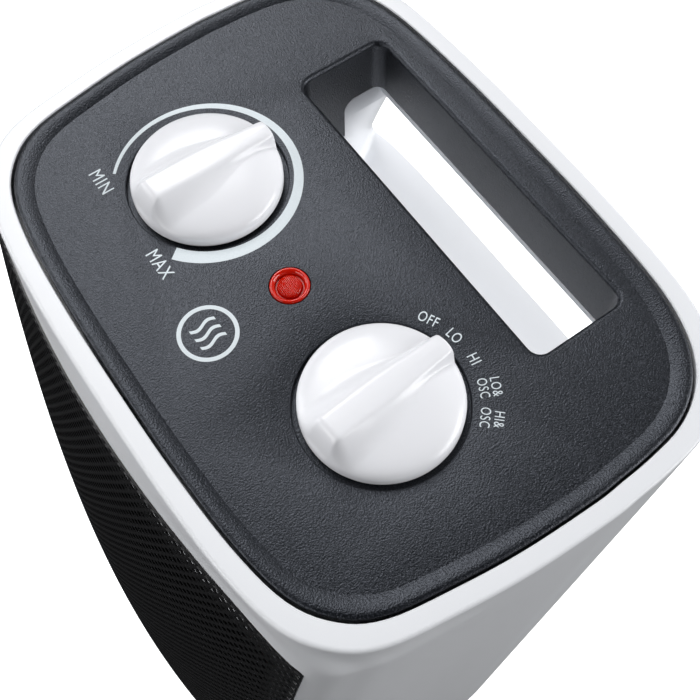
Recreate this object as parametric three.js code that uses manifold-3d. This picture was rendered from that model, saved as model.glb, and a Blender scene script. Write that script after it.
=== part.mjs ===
// Oscillating ceramic tower heater, in millimetres.
// +Z is up, +X is the right hand of a person facing the grille, +Y is the back.
// The origin is on the floor, on the swivel axis in the middle of the round base.

import * as THREE from 'three';
import Module from 'manifold-3d';
import { mergeVertices } from 'three/addons/utils/BufferGeometryUtils.js';

const wasm = await Module();
wasm.setup();

// Fits shared by all pieces
const fit = 0.3;
const overrun = 4;

// Round base
const footHeight = 3;
const footRadius = 8;
const baseRadius = 92;
const footInset = 16;
const footPlaceRadius = baseRadius - footInset;
const baseHeight = 27;
const baseWall = 2.5;
const baseSideHeight = 13;
const deckInset = 13;
const deckRadius = baseRadius - deckInset;
const coverThickness = 2.5;

// Swivel pivot
const pivotRadius = 12;
const pivotWall = 4;
const pivotFlangeWidth = 7;
const pivotFlangeThickness = 2.5;
const glideInnerRadius = 17;
const glideOuterRadius = 27;
const washerWidth = 4;
const washerThickness = 2;
const pivotTip = 1;

// Swing drive, with a crank pin in a slotted fork
const swingAngle = THREE.MathUtils.degToRad(35);
const crankDistance = 38;
const crankShaftRadius = 3;
const crankHubRadius = 5;
const crankThickness = 2.4;
const crankPinRadius = 3;
const crankPinLength = 2.7;
const crankShaftInsert = 7;
const forkThickness = 2.6;
const forkSideWidth = 4.6;
const forkEndWidth = 4;
const forkSlack = 1.9;
const forkEndSlack = 1;
const swingMotorRadius = 21;
const swingMotorHeight = 19;

// Tip-over switch and mains entry in the base
const tipSwitchInset = 47;
const tipSwitchX = tipSwitchInset - baseRadius;
const tipSwitchY = 22;
const tipSwitchWidth = 22;
const tipSwitchDepth = 14;
const tipSwitchHeight = 16;
const plungerRadius = 4;
const plungerLength = 13;
const plungerLift = 0.5;
const plungerFlangeWidth = 1.5;
const plungerTravel = 3.5;
const plungerFlangeThickness = 2;
const terminalInset = 38;
const terminalY = baseRadius - terminalInset;
const terminalWidth = 30;
const terminalDepth = 14;
const terminalHeight = 12;
const terminalPoleRadius = 2.2;
const terminalPoleSpacing = 9;
const terminalPoleDepth = 5;
const glandRadius = 6.5;
const glandBoreRadius = 3.6;
const glandLength = 12;
const glandInset = 0.4;
const ballastWidth = 12.4;
const ballastThickness = 6;
const baseScrewInset = 23;
const baseScrewPlaceRadius = baseRadius - baseScrewInset;
const screwPostRadius = 4.5;

// Screws, all of one size
const screwHeadRadius = 3.4;
const screwHeadHeight = 2.2;
const screwShankRadius = 1.6;
const screwLength = 16;

// Tower casing
const bodyGap = 2;
const bodyHeight = 428;
const bodyWall = 2.5;
const topHalfWidth = 91.5;
const sideTaper = 1;
const seamY = 24;
const frontDepth = 79.2;
const frontBulge = 30.7;
const bulgeDrop = 0.6 * bodyHeight;
const rearDepth = 56.6;
const rearTaper = 5;
const cornerBlendDrop = 12;
const rimWidth = 5.1;
const rimRound = 1.5;
const panelSeatDrop = 9;
const ledgeWidth = 2.2;
const ledgeThickness = 3;
const bottomPlateHeight = 4;
const bottomPlateThickness = 3;

// Front grille
const windowDrop = 15;
const seatWidth = 6;
const windowSill = 32;
const grilleProud = 1;
const grilleThickness = 1.2;
const grilleBorder = 5;
const grilleColumns = 5;
const grilleRows = 18;
const grilleBar = 2.4;

// Control panel on top
const panelGap = 0.7;
const panelFieldDrop = 0.6;
const panelBeadWidth = 4.5;
const panelBeadHeight = 1;
const panelSkirt = 2.2;
const panelThickness = 2.5;
const panelBossThickness = 3;
const knobSpacing = 77.5;
const knobY = -1;
const knobRecessRadius = 21.3;
const knobRecessDepth = 1.5;
const slotHalfWidth = 51.1;
const slotFrontY = 36.6;
const slotRearY = 64.2;
const slotCornerRadius = 3.5;
const collarDepth = 18.5;
const collarWall = 2;

// Knobs
const knobRadius = 20;
const knobHeight = 10.2;
const knobRimHeight = 3;
const knobDomeHeight = 8.2;
const knobFloorGap = 0.5;
const pointerReach = 19.9;
const pointerFrontReach = 15.2;
const pointerFrontLean = 3.4;
const pointerFall = 2.8;
const pointerFrontWidth = 7.2;
const pointerRearWidth = 6.6;
const pointerFlare = 1.6;
const pointerRound = 0.9;
const shaftRadius = 3;
const shaftTip = 0.6;
const knobBoreDepth = 5.8;
const thermostatRest = THREE.MathUtils.degToRad(2);
const functionRest = THREE.MathUtils.degToRad(5);

// Controls under the panel
const thermostatWidth = 30;
const thermostatDepth = 26;
const thermostatHeight = 18;
const switchWidth = 34;
const switchDepth = 34;
const switchHeight = 22;
const shaftInsert = 10;
const lensRadius = 5.1;
const lensProud = 0.6;
const lensLength = 9;
const lensRound = 0.6;
const lampRadius = 3;
const lampLength = 16;

// Scooped hand hold behind the slot
const scoopWall = 2.2;
const scoopDrop = 72;
const gripDrop = 21.6;
const scoopShoulderDrop = 30;
const mouthHalfWidth = 67.5;
const mouthRearY = 74.5;
const flareDrop = 26.5;
const flareFrontY = 51.5;

// Rear intake and casing screws
const ventColumns = 2;
const ventRows = 8;
const ventWidth = 44;
const ventHeight = 6;
const ventGap = 16;
const ventRib = 12;
const bossInset = 26.5;
const bossX = topHalfWidth - bossInset;
const bossRadius = 5.4;
const bossUpperDrop = 92;
const bossLowerHeight = 34;
const bossWeb = 5;
const lugDepth = 15;
const lugHalfHeight = 6;

// Air duct with fan and heating element
const ductBottomHeight = 90;
const ductPlateThickness = 2;
const ductTopDrop = 136;
const ductHeight = bodyHeight - ductBottomHeight - ductTopDrop;
const ductInset = 29.8;
const ductHalfWidth = topHalfWidth - ductInset;
const ductFrontY = -52;
const ductRearY = 68;
const railThickness = 2;
const railFrontY = -24;
const railRearY = 6;
const fanY = 24;
const fanRadius = 31;
const fanBladeDepth = 7;
const fanBladeThickness = 1.4;
const fanBlades = 14;
const fanBladeTilt = THREE.MathUtils.degToRad(28);
const fanDiscThickness = 2;
const fanDiscs = 3;
const fanEndGap = 2;
const fanShaftRadius = 2.5;
const scrollThickness = 1.8;
const bearingRadius = 8;
const bearingHeight = 8;
const bearingHole = 6;

// Fan motor under the duct
const motorLegHeight = 7.9;
const motorPlateThickness = 2.5;
const motorStatorWidth = 60;
const motorStatorDepth = 50;
const motorStatorHeight = 22;
const motorBoreRadius = 15.5;
const motorAirGap = 0.5;
const motorBoltX = 24;
const motorBoltRadius = 2;
const motorBoltHeadRadius = 4;
const motorBoltHeadHeight = 3;
const motorLegRadius = 4.5;
const motorBushRadius = 7;
const motorBushHeight = 6;
const motorBossHeight = 9.2;
const motorBracketDepth = 14;
const coilWidth = 30;
const coilDepth = 15;
const coilHeight = 34;

// Heating element
const elementBackY = -28;
const elementDepth = 22;
const elementInset = 3.7;
const elementHalfWidth = ductHalfWidth - elementInset;
const elementSideBar = 12;
const elementEndBar = 10;
const ptcBarWidth = 8;
const finInset = 3;
const finRows = 12;
const finSheet = 1.2;
const cutoutRadius = 7;
const cutoutThickness = 6;
const cutoutX = 30;
const cutoutDrop = 8;

// Facets
const roundSides = 36;
const ringSides = 24;
const smallSides = 12;
const knobSides = 28;
const tinySides = 8;
const frontSteps = 12;
const rearSteps = 10;
const bodyLevels = 9;

// Plan outline of the casing: shares of half width and of the reach from the seam
const rimFrontShares = [
  [0, 1], [0.3, 0.9955], [0.557, 0.976], [0.745, 0.932], [0.86, 0.845],
  [0.926, 0.72], [0.963, 0.504], [0.989, 0.27], [1, 0],
];
const wallFrontShares = [
  [0, 1], [0.28, 0.9875], [0.56, 0.95], [0.845, 0.886], [0.922, 0.763],
  [0.952, 0.64], [0.975, 0.44], [0.994, 0.2], [1, 0],
];
const rearShares = [
  [1, 0], [0.997, 0.156], [0.991, 0.33], [0.973, 0.53], [0.93, 0.69],
  [0.86, 0.815], [0.76, 0.903], [0.6, 0.964], [0.3, 0.9945], [0, 1],
];
const frontCrownShare = 0.16;
const windowWidthShare = 0.845;

// Rounded bead round the panel: shares of its width and of its height over the field
const beadShares = [[0, 0.35], [0.05, 0.72], [0.14, 0.95], [0.24, 1], [0.5, 0.83], [0.78, 0.42], [1, 0]];

// Rounded profile of a knob's dome: shares of its radius and of its height above the rim
const domeShares = [[1, 0], [0.965, 0.33], [0.87, 0.62], [0.66, 0.86], [0.36, 0.98], [0, 1]];

// The scoop's curved floor: shares of its run to the back and of its fall
const scoopShares = [[0, 0], [0.1, 0.4], [0.3, 0.7], [0.62, 0.92], [1, 1]];

// The duct's back wall round the fan: shares of its width and depth
const scrollShares = [[-1, -1], [-0.88, -0.5], [-0.76, 0], [-0.6, 0.42], [-0.3, 0.78], [0.1, 0.94]];
const tongueShares = [[1, -1], [0.86, -0.72], [0.66, -0.38]];

// Levels worked out from the sizes above
const deckLevel = footHeight + baseHeight;
const deckUnder = deckLevel - baseWall;
const coverTop = footHeight + coverThickness;
const bodyBottom = deckLevel + bodyGap;
const bodyTop = bodyBottom + bodyHeight;
const plateBottom = bodyBottom + bottomPlateHeight;
const plateTop = plateBottom + bottomPlateThickness;
const fieldLevel = bodyTop - panelFieldDrop;
const collarBottom = fieldLevel - collarDepth;
const recessLevel = fieldLevel - knobRecessDepth;
const bossUnder = fieldLevel - panelThickness - panelBossThickness;
const controlTop = bossUnder - fit;
const ductBottom = bodyBottom + ductBottomHeight;
const ductFloor = ductBottom + ductPlateThickness;
const ductCeiling = ductFloor + ductHeight;
const ductTop = ductCeiling + ductPlateThickness;
const crankRadius = crankDistance * Math.sin(swingAngle);

const heater = new THREE.Group();
const base = new THREE.Group();
const tower = new THREE.Group();
heater.add(base, tower);

// Colours and finishes
const finish = (color, roughness, metalness) =>
  () => new THREE.MeshStandardMaterial({ color, roughness, metalness });
const whiteGloss = finish(0xe9ecef, 0.3, 0);
const blackSatin = finish(0x2b2d30, 0.55, 0);
const grilleBlack = finish(0x18191b, 0.45, 0.4);
const signalRed = finish(0xc4160d, 0.2, 0);
const rubberBlack = finish(0x1c1c1d, 0.85, 0);
const steel = finish(0xa9adb0, 0.4, 0.9);
const darkSteel = finish(0x5b5f63, 0.5, 0.8);
const aluminium = finish(0xc3c6c9, 0.35, 0.9);
const copper = finish(0xa9683b, 0.4, 0.8);
const ceramicGrey = finish(0x6b6560, 0.8, 0);
const resinBrown = finish(0x4a3427, 0.7, 0);
const nylonWhite = finish(0xe4e2da, 0.6, 0);
const neonOrange = finish(0xe0793a, 0.2, 0);

function addPiece(group, name, geometry, material) {
  const mesh = new THREE.Mesh(geometry, material());
  mesh.name = name;
  group.add(mesh);
  return mesh;
}

// Solid modelling: a closed geometry becomes a solid, and back
function solid(geometry) {
  const bare = geometry.clone();
  bare.deleteAttribute('normal');
  bare.deleteAttribute('uv');
  const merged = mergeVertices(bare);
  return new wasm.Manifold(new wasm.Mesh({
    numProp: 3,
    vertProperties: Float32Array.from(merged.attributes.position.array),
    triVerts: Uint32Array.from(merged.index.array),
  }));
}

function geometryOf(shape) {
  const mesh = shape.getMesh();
  const geometry = new THREE.BufferGeometry();
  geometry.setAttribute('position', new THREE.BufferAttribute(mesh.vertProperties, 3));
  geometry.setIndex(new THREE.BufferAttribute(mesh.triVerts, 1));
  return geometry;
}

function joined(first, ...others) {
  return others.reduce((sum, geometry) => sum.add(solid(geometry)), solid(first));
}

function cut(body, ...tools) {
  return tools.reduce((rest, geometry) => rest.subtract(solid(geometry)), body);
}

// Plain shapes given by their limits
function block(xLow, xHigh, yLow, yHigh, zLow, zHigh) {
  const geometry = new THREE.BoxGeometry(xHigh - xLow, yHigh - yLow, zHigh - zLow);
  return geometry.translate((xLow + xHigh) / 2, (yLow + yHigh) / 2, (zLow + zHigh) / 2);
}

function rod(radius, zLow, zHigh, x = 0, y = 0, sides = smallSides) {
  const geometry = new THREE.CylinderGeometry(radius, radius, zHigh - zLow, sides);
  return geometry.rotateX(Math.PI / 2).translate(x, y, (zLow + zHigh) / 2);
}

function rodAlongY(radius, yLow, yHigh, x, z, sides = smallSides) {
  const geometry = new THREE.CylinderGeometry(radius, radius, yHigh - yLow, sides);
  return geometry.translate(x, (yLow + yHigh) / 2, z);
}

function turned(points, sides = roundSides) {
  const profile = points.map(([radius, level]) => new THREE.Vector2(radius, level));
  return new THREE.LatheGeometry(profile, sides).rotateX(Math.PI / 2);
}

function ring(innerRadius, outerRadius, zLow, zHigh, sides = roundSides) {
  return turned([
    [innerRadius, zLow], [outerRadius, zLow], [outerRadius, zHigh],
    [innerRadius, zHigh], [innerRadius, zLow],
  ], sides);
}

function prism(points, zLow, zHigh) {
  const shape = new THREE.Shape(points);
  const geometry = new THREE.ExtrudeGeometry(shape, { depth: zHigh - zLow, bevelEnabled: false });
  return geometry.translate(0, 0, zLow);
}

// A profile in the Y and Z plane, run along X
function sideProfile(points, halfWidth) {
  const shape = new THREE.Shape(points.map(([y, z]) => new THREE.Vector2(y, z)));
  const geometry = new THREE.ExtrudeGeometry(shape, { depth: 2 * halfWidth, bevelEnabled: false });
  geometry.translate(0, 0, -halfWidth);
  return geometry.rotateX(Math.PI / 2).rotateZ(Math.PI / 2);
}

function roundedRectangle(xLow, xHigh, yLow, yHigh, radius) {
  const path = new THREE.Path();
  path.absarc(xHigh - radius, yLow + radius, radius, -Math.PI / 2, 0);
  path.absarc(xHigh - radius, yHigh - radius, radius, 0, Math.PI / 2);
  path.absarc(xLow + radius, yHigh - radius, radius, Math.PI / 2, Math.PI);
  path.absarc(xLow + radius, yLow + radius, radius, Math.PI, 1.5 * Math.PI);
  return path.getPoints(4);
}

// A closed skin through rings of points, each at its own level, from low to high
function loft(rings) {
  const count = rings[0].points.length;
  const positions = rings.flatMap(({ points, level }) => points.flatMap((p) => [p.x, p.y, level]));
  const faces = [];
  for (let r = 0; r < rings.length - 1; r += 1) {
    for (let i = 0; i < count; i += 1) {
      const a = r * count + i;
      const b = r * count + (i + 1) % count;
      faces.push(a, b, b + count, a, b + count, a + count);
    }
  }
  const last = (rings.length - 1) * count;
  for (const [a, b, c] of THREE.ShapeUtils.triangulateShape(rings[0].points, [])) {
    faces.push(a, c, b);
  }
  for (const [a, b, c] of THREE.ShapeUtils.triangulateShape(rings.at(-1).points, [])) {
    faces.push(last + a, last + b, last + c);
  }
  const geometry = new THREE.BufferGeometry();
  geometry.setAttribute('position', new THREE.Float32BufferAttribute(positions, 3));
  geometry.setIndex(faces);
  return geometry;
}

// Casing outline at a drop below the rim, moved in from the outer skin by inset
function frontReach(drop) {
  return frontDepth + frontBulge * (1 - ((drop - bulgeDrop) / bulgeDrop) ** 2);
}

function rearReach(drop) {
  return rearDepth - rearTaper * (drop / bodyHeight);
}

function halfWidth(drop) {
  return topHalfWidth - sideTaper * (drop / bodyHeight);
}

function sharePoints(shares, side, width, reach, steps) {
  const curve = new THREE.SplineCurve(shares.map(([x, y]) => new THREE.Vector2(x, y)));
  return curve.getPoints(steps).map((p) => new THREE.Vector2(p.x * width, seamY + side * p.y * reach));
}

function outline(drop, inset) {
  const blend = THREE.MathUtils.smoothstep(drop, 0, cornerBlendDrop);
  const frontShares = rimFrontShares.map(([x, y], i) => [
    THREE.MathUtils.lerp(x, wallFrontShares[i][0], blend),
    THREE.MathUtils.lerp(y, wallFrontShares[i][1], blend),
  ]);
  const width = halfWidth(drop) - inset;
  const front = sharePoints(frontShares, -1, width, frontReach(drop) - inset, frontSteps);
  const rear = sharePoints(rearShares, 1, width, rearReach(drop) - inset, rearSteps);
  const right = [...front, ...rear.slice(1)];
  const left = right.slice(1, -1).reverse().map((p) => new THREE.Vector2(-p.x, p.y));
  return [...right, ...left];
}

function bodyRing(drop, inset) {
  return { points: outline(drop, inset), level: bodyTop - drop };
}

// A slab with the casing's own sloping sides, between two drops
function bodySlab(upperDrop, lowerDrop, inset, levels = 1) {
  const rings = [];
  for (let i = 0; i <= levels; i += 1) {
    rings.push(bodyRing(THREE.MathUtils.lerp(lowerDrop, upperDrop, i / levels), inset));
  }
  return loft(rings);
}

// A slab with upright sides, with the rim's outline
function rimSlab(upperDrop, lowerDrop, inset) {
  const points = outline(0, inset);
  return loft([{ points, level: bodyTop - lowerDrop }, { points, level: bodyTop - upperDrop }]);
}

// The casing's outer skin, with its rounded rim
function casingSkin() {
  const rings = [];
  for (let i = 0; i <= bodyLevels; i += 1) {
    rings.push(bodyRing(THREE.MathUtils.lerp(bodyHeight, windowDrop, i / bodyLevels), 0));
  }
  rings.push(bodyRing(windowDrop / 2, 0));
  for (const angle of [0, Math.PI / 4, Math.PI / 2]) {
    rings.push(bodyRing(rimRound * (1 - Math.sin(angle)), rimRound * (1 - Math.cos(angle))));
  }
  return loft(rings);
}

function casingShell() {
  return cut(
    solid(casingSkin()),
    bodySlab(panelSeatDrop + ledgeThickness, bodyHeight + overrun, bodyWall, bodyLevels),
    rimSlab(-overrun, panelSeatDrop, rimWidth),
    rimSlab(0, panelSeatDrop + ledgeThickness + overrun, rimWidth + ledgeWidth),
  );
}

const farReach = 2 * (topHalfWidth + frontDepth + frontBulge);
const farTop = bodyTop + farReach;
const frontSide = () => block(-farReach, farReach, -farReach, seamY - fit / 2, -farReach, farTop);
const rearSide = () => block(-farReach, farReach, seamY + fit / 2, farReach, -farReach, farTop);

// Casing screws: one row of places for the bosses, the lugs and the screws
const bossLevels = [bodyTop - bossUpperDrop, bodyBottom + bossLowerHeight];
const bossPlaces = bossLevels.flatMap((level) => [[-bossX, level], [bossX, level]]);
const screwSeatY = seamY + bossWeb;

// Front casing with the window for the grille
function frontHousing() {
  const half = solid(casingSkin()).intersect(solid(frontSide()));
  const shell = casingShell().intersect(solid(frontSide()));
  const lugs = bossPlaces.map(([x, level]) => {
    const inner = Math.abs(x) - bossRadius;
    const outer = topHalfWidth;
    const low = Math.min(Math.sign(x) * inner, Math.sign(x) * outer);
    const high = Math.max(Math.sign(x) * inner, Math.sign(x) * outer);
    const lug = block(
      low, high, seamY - lugDepth, seamY - fit / 2, level - lugHalfHeight, level + lugHalfHeight);
    return solid(lug).intersect(half);
  });
  const whole = lugs.reduce((sum, lug) => sum.add(lug), shell);
  const pilots = bossPlaces.map(([x, level]) =>
    rodAlongY(screwShankRadius + fit, seamY - lugDepth - overrun, seamY + overrun, x, level, tinySides));
  const sheetBack = grilleThickness - grilleProud + 3 * fit;
  const behindGrille = bodySlab(windowDrop - overrun, bodyHeight, sheetBack, bodyLevels);
  const recess = solid(windowPrism(0)).subtract(solid(behindGrille));
  return cut(whole.subtract(recess), windowPrism(seatWidth), ...pilots);
}

// The grille's window, a tapering four-sided opening run along Y, moved in by inset
function windowPrism(inset) {
  const topDrop = windowDrop + inset;
  const lowDrop = bodyHeight - windowSill - inset;
  const topHalf = windowWidthShare * halfWidth(topDrop) - inset;
  const lowHalf = windowWidthShare * halfWidth(lowDrop) - inset;
  const points = [[-lowHalf, lowDrop], [lowHalf, lowDrop], [topHalf, topDrop], [-topHalf, topDrop]];
  const shape = new THREE.Shape(points.map(([x, drop]) => new THREE.Vector2(x, bodyTop - drop)));
  const geometry = new THREE.ExtrudeGeometry(shape, { depth: farReach, bevelEnabled: false });
  return geometry.rotateX(Math.PI / 2);
}

// A sheet with rows of holes: place(u, v, side) gives a point for shares u across and v down
function perforatedSheet(place, columns, rows, holeEdges) {
  const positions = [];
  const faces = [];
  const known = new Map();
  const corner = (u, v, side) => {
    const key = [u.toFixed(6), v.toFixed(6), side].join();
    if (!known.has(key)) {
      known.set(key, positions.length / 3);
      positions.push(...place(u, v, side));
    }
    return known.get(key);
  };
  const quad = (a, b, c, d) => faces.push(a, b, c, a, c, d);
  const { u: uCuts, v: vCuts } = holeEdges;
  for (let i = 0; i < columns; i += 1) {
    for (let j = 0; j < rows; j += 1) {
      const [u0, u1, u2, u3] = uCuts(i);
      const [v0, v1, v2, v3] = vCuts(j);
      const outer = [[u0, v0], [u3, v0], [u3, v3], [u0, v3]];
      const inner = [[u1, v1], [u2, v1], [u2, v2], [u1, v2]];
      for (let k = 0; k < 4; k += 1) {
        const next = (k + 1) % 4;
        const front = [outer[k], outer[next], inner[next], inner[k]].map(([u, v]) => corner(u, v, 1));
        const back = [outer[next], outer[k], inner[k], inner[next]].map(([u, v]) => corner(u, v, 0));
        quad(...front.reverse());
        quad(...back.reverse());
        quad(
          corner(...inner[k], 1), corner(...inner[k], 0),
          corner(...inner[next], 0), corner(...inner[next], 1),
        );
      }
    }
  }
  for (let i = 0; i < columns; i += 1) {
    const [u0, , , u3] = uCuts(i);
    const [vTop] = vCuts(0);
    const vEnd = vCuts(rows - 1)[3];
    quad(corner(u0, vTop, 1), corner(u3, vTop, 1), corner(u3, vTop, 0), corner(u0, vTop, 0));
    quad(corner(u3, vEnd, 1), corner(u0, vEnd, 1), corner(u0, vEnd, 0), corner(u3, vEnd, 0));
  }
  for (let j = 0; j < rows; j += 1) {
    const [v0, , , v3] = vCuts(j);
    const [uLeft] = uCuts(0);
    const uEnd = uCuts(columns - 1)[3];
    quad(corner(uLeft, v3, 1), corner(uLeft, v0, 1), corner(uLeft, v0, 0), corner(uLeft, v3, 0));
    quad(corner(uEnd, v0, 1), corner(uEnd, v3, 1), corner(uEnd, v3, 0), corner(uEnd, v0, 0));
  }
  const geometry = new THREE.BufferGeometry();
  geometry.setAttribute('position', new THREE.Float32BufferAttribute(positions, 3));
  geometry.setIndex(faces);
  return geometry;
}

// Cuts of one cell along a sheet of some length, with a border and even bars
function cellCuts(count, length, border, bar) {
  const cell = (length - 2 * border + bar) / count;
  return (i) => {
    const hole = border + i * cell;
    const start = i === 0 ? 0 : hole - bar / 2;
    const end = i === count - 1 ? length : hole + cell - bar / 2;
    return [start, hole, hole + cell - bar, end].map((value) => value / length);
  };
}

// Front grille: a bowed metal sheet standing a little proud of the casing
function frontGrille() {
  const topDrop = windowDrop + fit;
  const lowDrop = bodyHeight - windowSill - fit;
  const width = 2 * windowWidthShare * halfWidth(topDrop);
  const place = (u, v, side) => {
    const drop = THREE.MathUtils.lerp(topDrop, lowDrop, v);
    const across = windowWidthShare * halfWidth(drop) - fit;
    const x = across * (2 * u - 1);
    const reach = frontReach(drop) + (side ? grilleProud : grilleProud - grilleThickness);
    const crown = 1 - frontCrownShare * (x / halfWidth(drop)) ** 2;
    return [x, seamY - reach * crown, bodyTop - drop];
  };
  return perforatedSheet(place, grilleColumns, grilleRows, {
    u: cellCuts(grilleColumns, width, grilleBorder, grilleBar),
    v: cellCuts(grilleRows, lowDrop - topDrop, grilleBorder, grilleBar),
  });
}

// Scooped hand hold: profile from the slot down and out through the back
function scoopProfile(grow, reachY) {
  const top = collarBottom - fit;
  const shoulder = bodyTop - scoopShoulderDrop;
  const floor = bodyTop - scoopDrop;
  const front = slotFrontY - grow;
  const back = seamY + rearDepth;
  const ramp = scoopShares.map(([run, fall]) => [
    THREE.MathUtils.lerp(front, back, run),
    THREE.MathUtils.lerp(shoulder, floor, fall) - grow * run,
  ]);
  return [
    [front, top], ...ramp, [reachY, floor - grow],
    [reachY, bodyTop - gripDrop + grow], [slotRearY + grow, bodyTop - gripDrop + grow],
    [slotRearY + grow, top],
  ];
}

// The scoop as a solid: as wide as the slot under the panel, then widening to its mouth in the back
function scoopBody(grow) {
  const half = slotHalfWidth + grow;
  const lean = Math.atan2(mouthHalfWidth - slotHalfWidth, mouthRearY - flareFrontY);
  const shift = grow * Math.tan(lean / 2);
  const side = [
    [half, slotFrontY - grow - overrun], [half, flareFrontY - shift],
    [mouthHalfWidth + grow, mouthRearY - shift], [mouthHalfWidth + grow, farReach],
  ];
  const plan = [...side, ...side.map(([x, y]) => [-x, y]).reverse()];
  const widening = prism(
    plan.map(([x, y]) => new THREE.Vector2(x, y)), bodyBottom, bodyTop - flareDrop + grow,
  );
  const straight = block(-half, half, -farReach, farReach, bodyBottom, farTop);
  return solid(sideProfile(scoopProfile(grow, farReach), mouthHalfWidth + grow))
    .intersect(solid(straight).add(solid(widening)));
}

function screwTube([x, level]) {
  return rodAlongY(bossRadius, seamY + fit / 2, farReach, x, level);
}

function screwBore([x, level]) {
  return rodAlongY(screwHeadRadius + fit, screwSeatY, farReach, x, level);
}

function screwPilot([x, level]) {
  return rodAlongY(screwShankRadius + fit, seamY - overrun, farReach, x, level, tinySides);
}

// Rear casing with the scoop, the intake slots and the screw tubes
function rearHousing() {
  const skin = solid(casingSkin()).intersect(solid(rearSide()));
  const shell = casingShell().intersect(solid(rearSide()));
  const tubes = bossPlaces.map((place) => solid(screwTube(place)).intersect(skin));
  const whole = tubes.reduce((sum, tube) => sum.add(tube), shell.add(scoopBody(scoopWall).intersect(skin)));
  const vents = [];
  for (let column = 0; column < ventColumns; column += 1) {
    const left = (column - ventColumns / 2) * (ventWidth + ventRib) + ventRib / 2;
    for (let row = 0; row < ventRows; row += 1) {
      const level = ductBottom + row * (ventHeight + ventGap);
      vents.push(block(left, left + ventWidth, ductRearY, farReach, level, level + ventHeight));
    }
  }
  return cut(
    whole.subtract(scoopBody(0)),
    ...vents, ...bossPlaces.map(screwBore), ...bossPlaces.map(screwPilot),
  );
}

// Top panel: a flat field with a rounded bead all round, a little proud of the white rim
function panelSkin() {
  const edge = rimWidth + panelGap;
  const bead = beadShares.map(([across, rise]) =>
    [panelFieldDrop - rise * panelBeadHeight, edge + across * panelBeadWidth]);
  const rings = [[panelSeatDrop - fit, edge], ...bead];
  return loft(rings.map(([drop, inset]) => ({ points: outline(0, inset), level: bodyTop - drop })));
}

function controlPanel() {
  const hollowInset = rimWidth + panelGap + panelSkirt;
  const hollow = rimSlab(panelFieldDrop + panelThickness, panelSeatDrop + overrun, hollowInset);
  const slot = (grow, low, high) => prism(
    roundedRectangle(
      -slotHalfWidth - grow, slotHalfWidth + grow, slotFrontY - grow, slotRearY + grow,
      slotCornerRadius + grow,
    ), low, high,
  );
  const panelMiddle = fieldLevel - panelThickness / 2;
  const panelOver = bodyTop + overrun;
  const knobCentres = [-knobSpacing / 2, knobSpacing / 2];
  const bosses = knobCentres.map((x) =>
    rod(knobRecessRadius + panelThickness, bossUnder, panelMiddle, x, knobY, ringSides));
  const whole = cut(solid(panelSkin()), hollow)
    .add(solid(slot(collarWall, collarBottom, panelMiddle)))
    .add(solid(bosses[0])).add(solid(bosses[1]));
  return cut(
    whole,
    slot(0, collarBottom - overrun, bodyTop + overrun),
    ...knobCentres.map((x) => rod(knobRecessRadius, recessLevel, panelOver, x, knobY, roundSides)),
    ...knobCentres.map((x) => rod(shaftRadius + shaftTip, bossUnder - overrun, panelOver, x, knobY)),
    rod(lensRadius + fit, bossUnder - overrun, panelOver, 0, knobY, smallSides),
  );
}

// A knob on its own axis, with its pointer to +Y and its recess floor at zero
function knob() {
  const dome = domeShares.map(([r, h]) =>
    [knobRadius * r, knobRimHeight + h * (knobDomeHeight - knobRimHeight)]);
  const boreTop = knobFloorGap + knobBoreDepth;
  const bore = shaftRadius + fit;
  const disc = turned([
    [0, boreTop], [bore, boreTop], [bore, knobFloorGap],
    [knobRadius - pointerRound, knobFloorGap], [knobRadius, knobFloorGap + pointerRound], ...dome,
  ], knobSides);
  const top = knobRecessDepth + knobHeight;
  const bar = (level, grow) => {
    const front = pointerFrontWidth / 2 + grow;
    const rear = pointerRearWidth / 2 + grow;
    const frontEnd = pointerFrontReach + pointerFrontLean;
    return {
      level,
      points: [
        [-front + pointerRound, -frontEnd], [front - pointerRound, -frontEnd],
        [front, -frontEnd + pointerRound], [rear, pointerReach - pointerRound],
        [rear - pointerRound, pointerReach], [-rear + pointerRound, pointerReach],
        [-rear, pointerReach - pointerRound], [-front, -frontEnd + pointerRound],
      ].map(([x, y]) => new THREE.Vector2(x, y)),
    };
  };
  const low = knobFloorGap + pointerRound;
  const flanks = loft([
    bar(low, pointerFlare),
    bar(top - pointerFall - pointerRound, pointerFlare / 3),
    bar(top, 0),
  ]);
  const crest = sideProfile([
    [-pointerFrontReach - pointerFrontLean, low], [pointerReach, low],
    [pointerReach, top - pointerFall - pointerRound], [pointerReach - pointerRound, top - pointerFall],
    [pointerRound - pointerFrontReach, top], [-pointerFrontReach - pointerRound / 2, top - pointerRound],
  ], knobRadius);
  const pointer = solid(flanks).intersect(solid(crest));
  return cut(solid(disc).add(pointer), rod(bore, -overrun, boreTop));
}

function knobGroup(x, restAngle) {
  const group = new THREE.Group();
  group.position.set(x, knobY, recessLevel);
  group.rotation.z = restAngle;
  tower.add(group);
  return group;
}

function controlShaft(bodyHeightUnder) {
  const low = controlTop - recessLevel - Math.min(shaftInsert, bodyHeightUnder);
  return rod(shaftRadius, low, knobFloorGap + knobBoreDepth - fit);
}

// Heater controls: a box under the panel with a blind hole for its shaft
function controlBox(x, width, depth, height) {
  const low = controlTop - height;
  const box = block(x - width / 2, x + width / 2, knobY - depth / 2, knobY + depth / 2, low, controlTop);
  const floor = controlTop - Math.min(shaftInsert, height) - fit;
  return cut(solid(box), rod(shaftRadius + fit, floor, controlTop + overrun, x, knobY));
}

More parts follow.
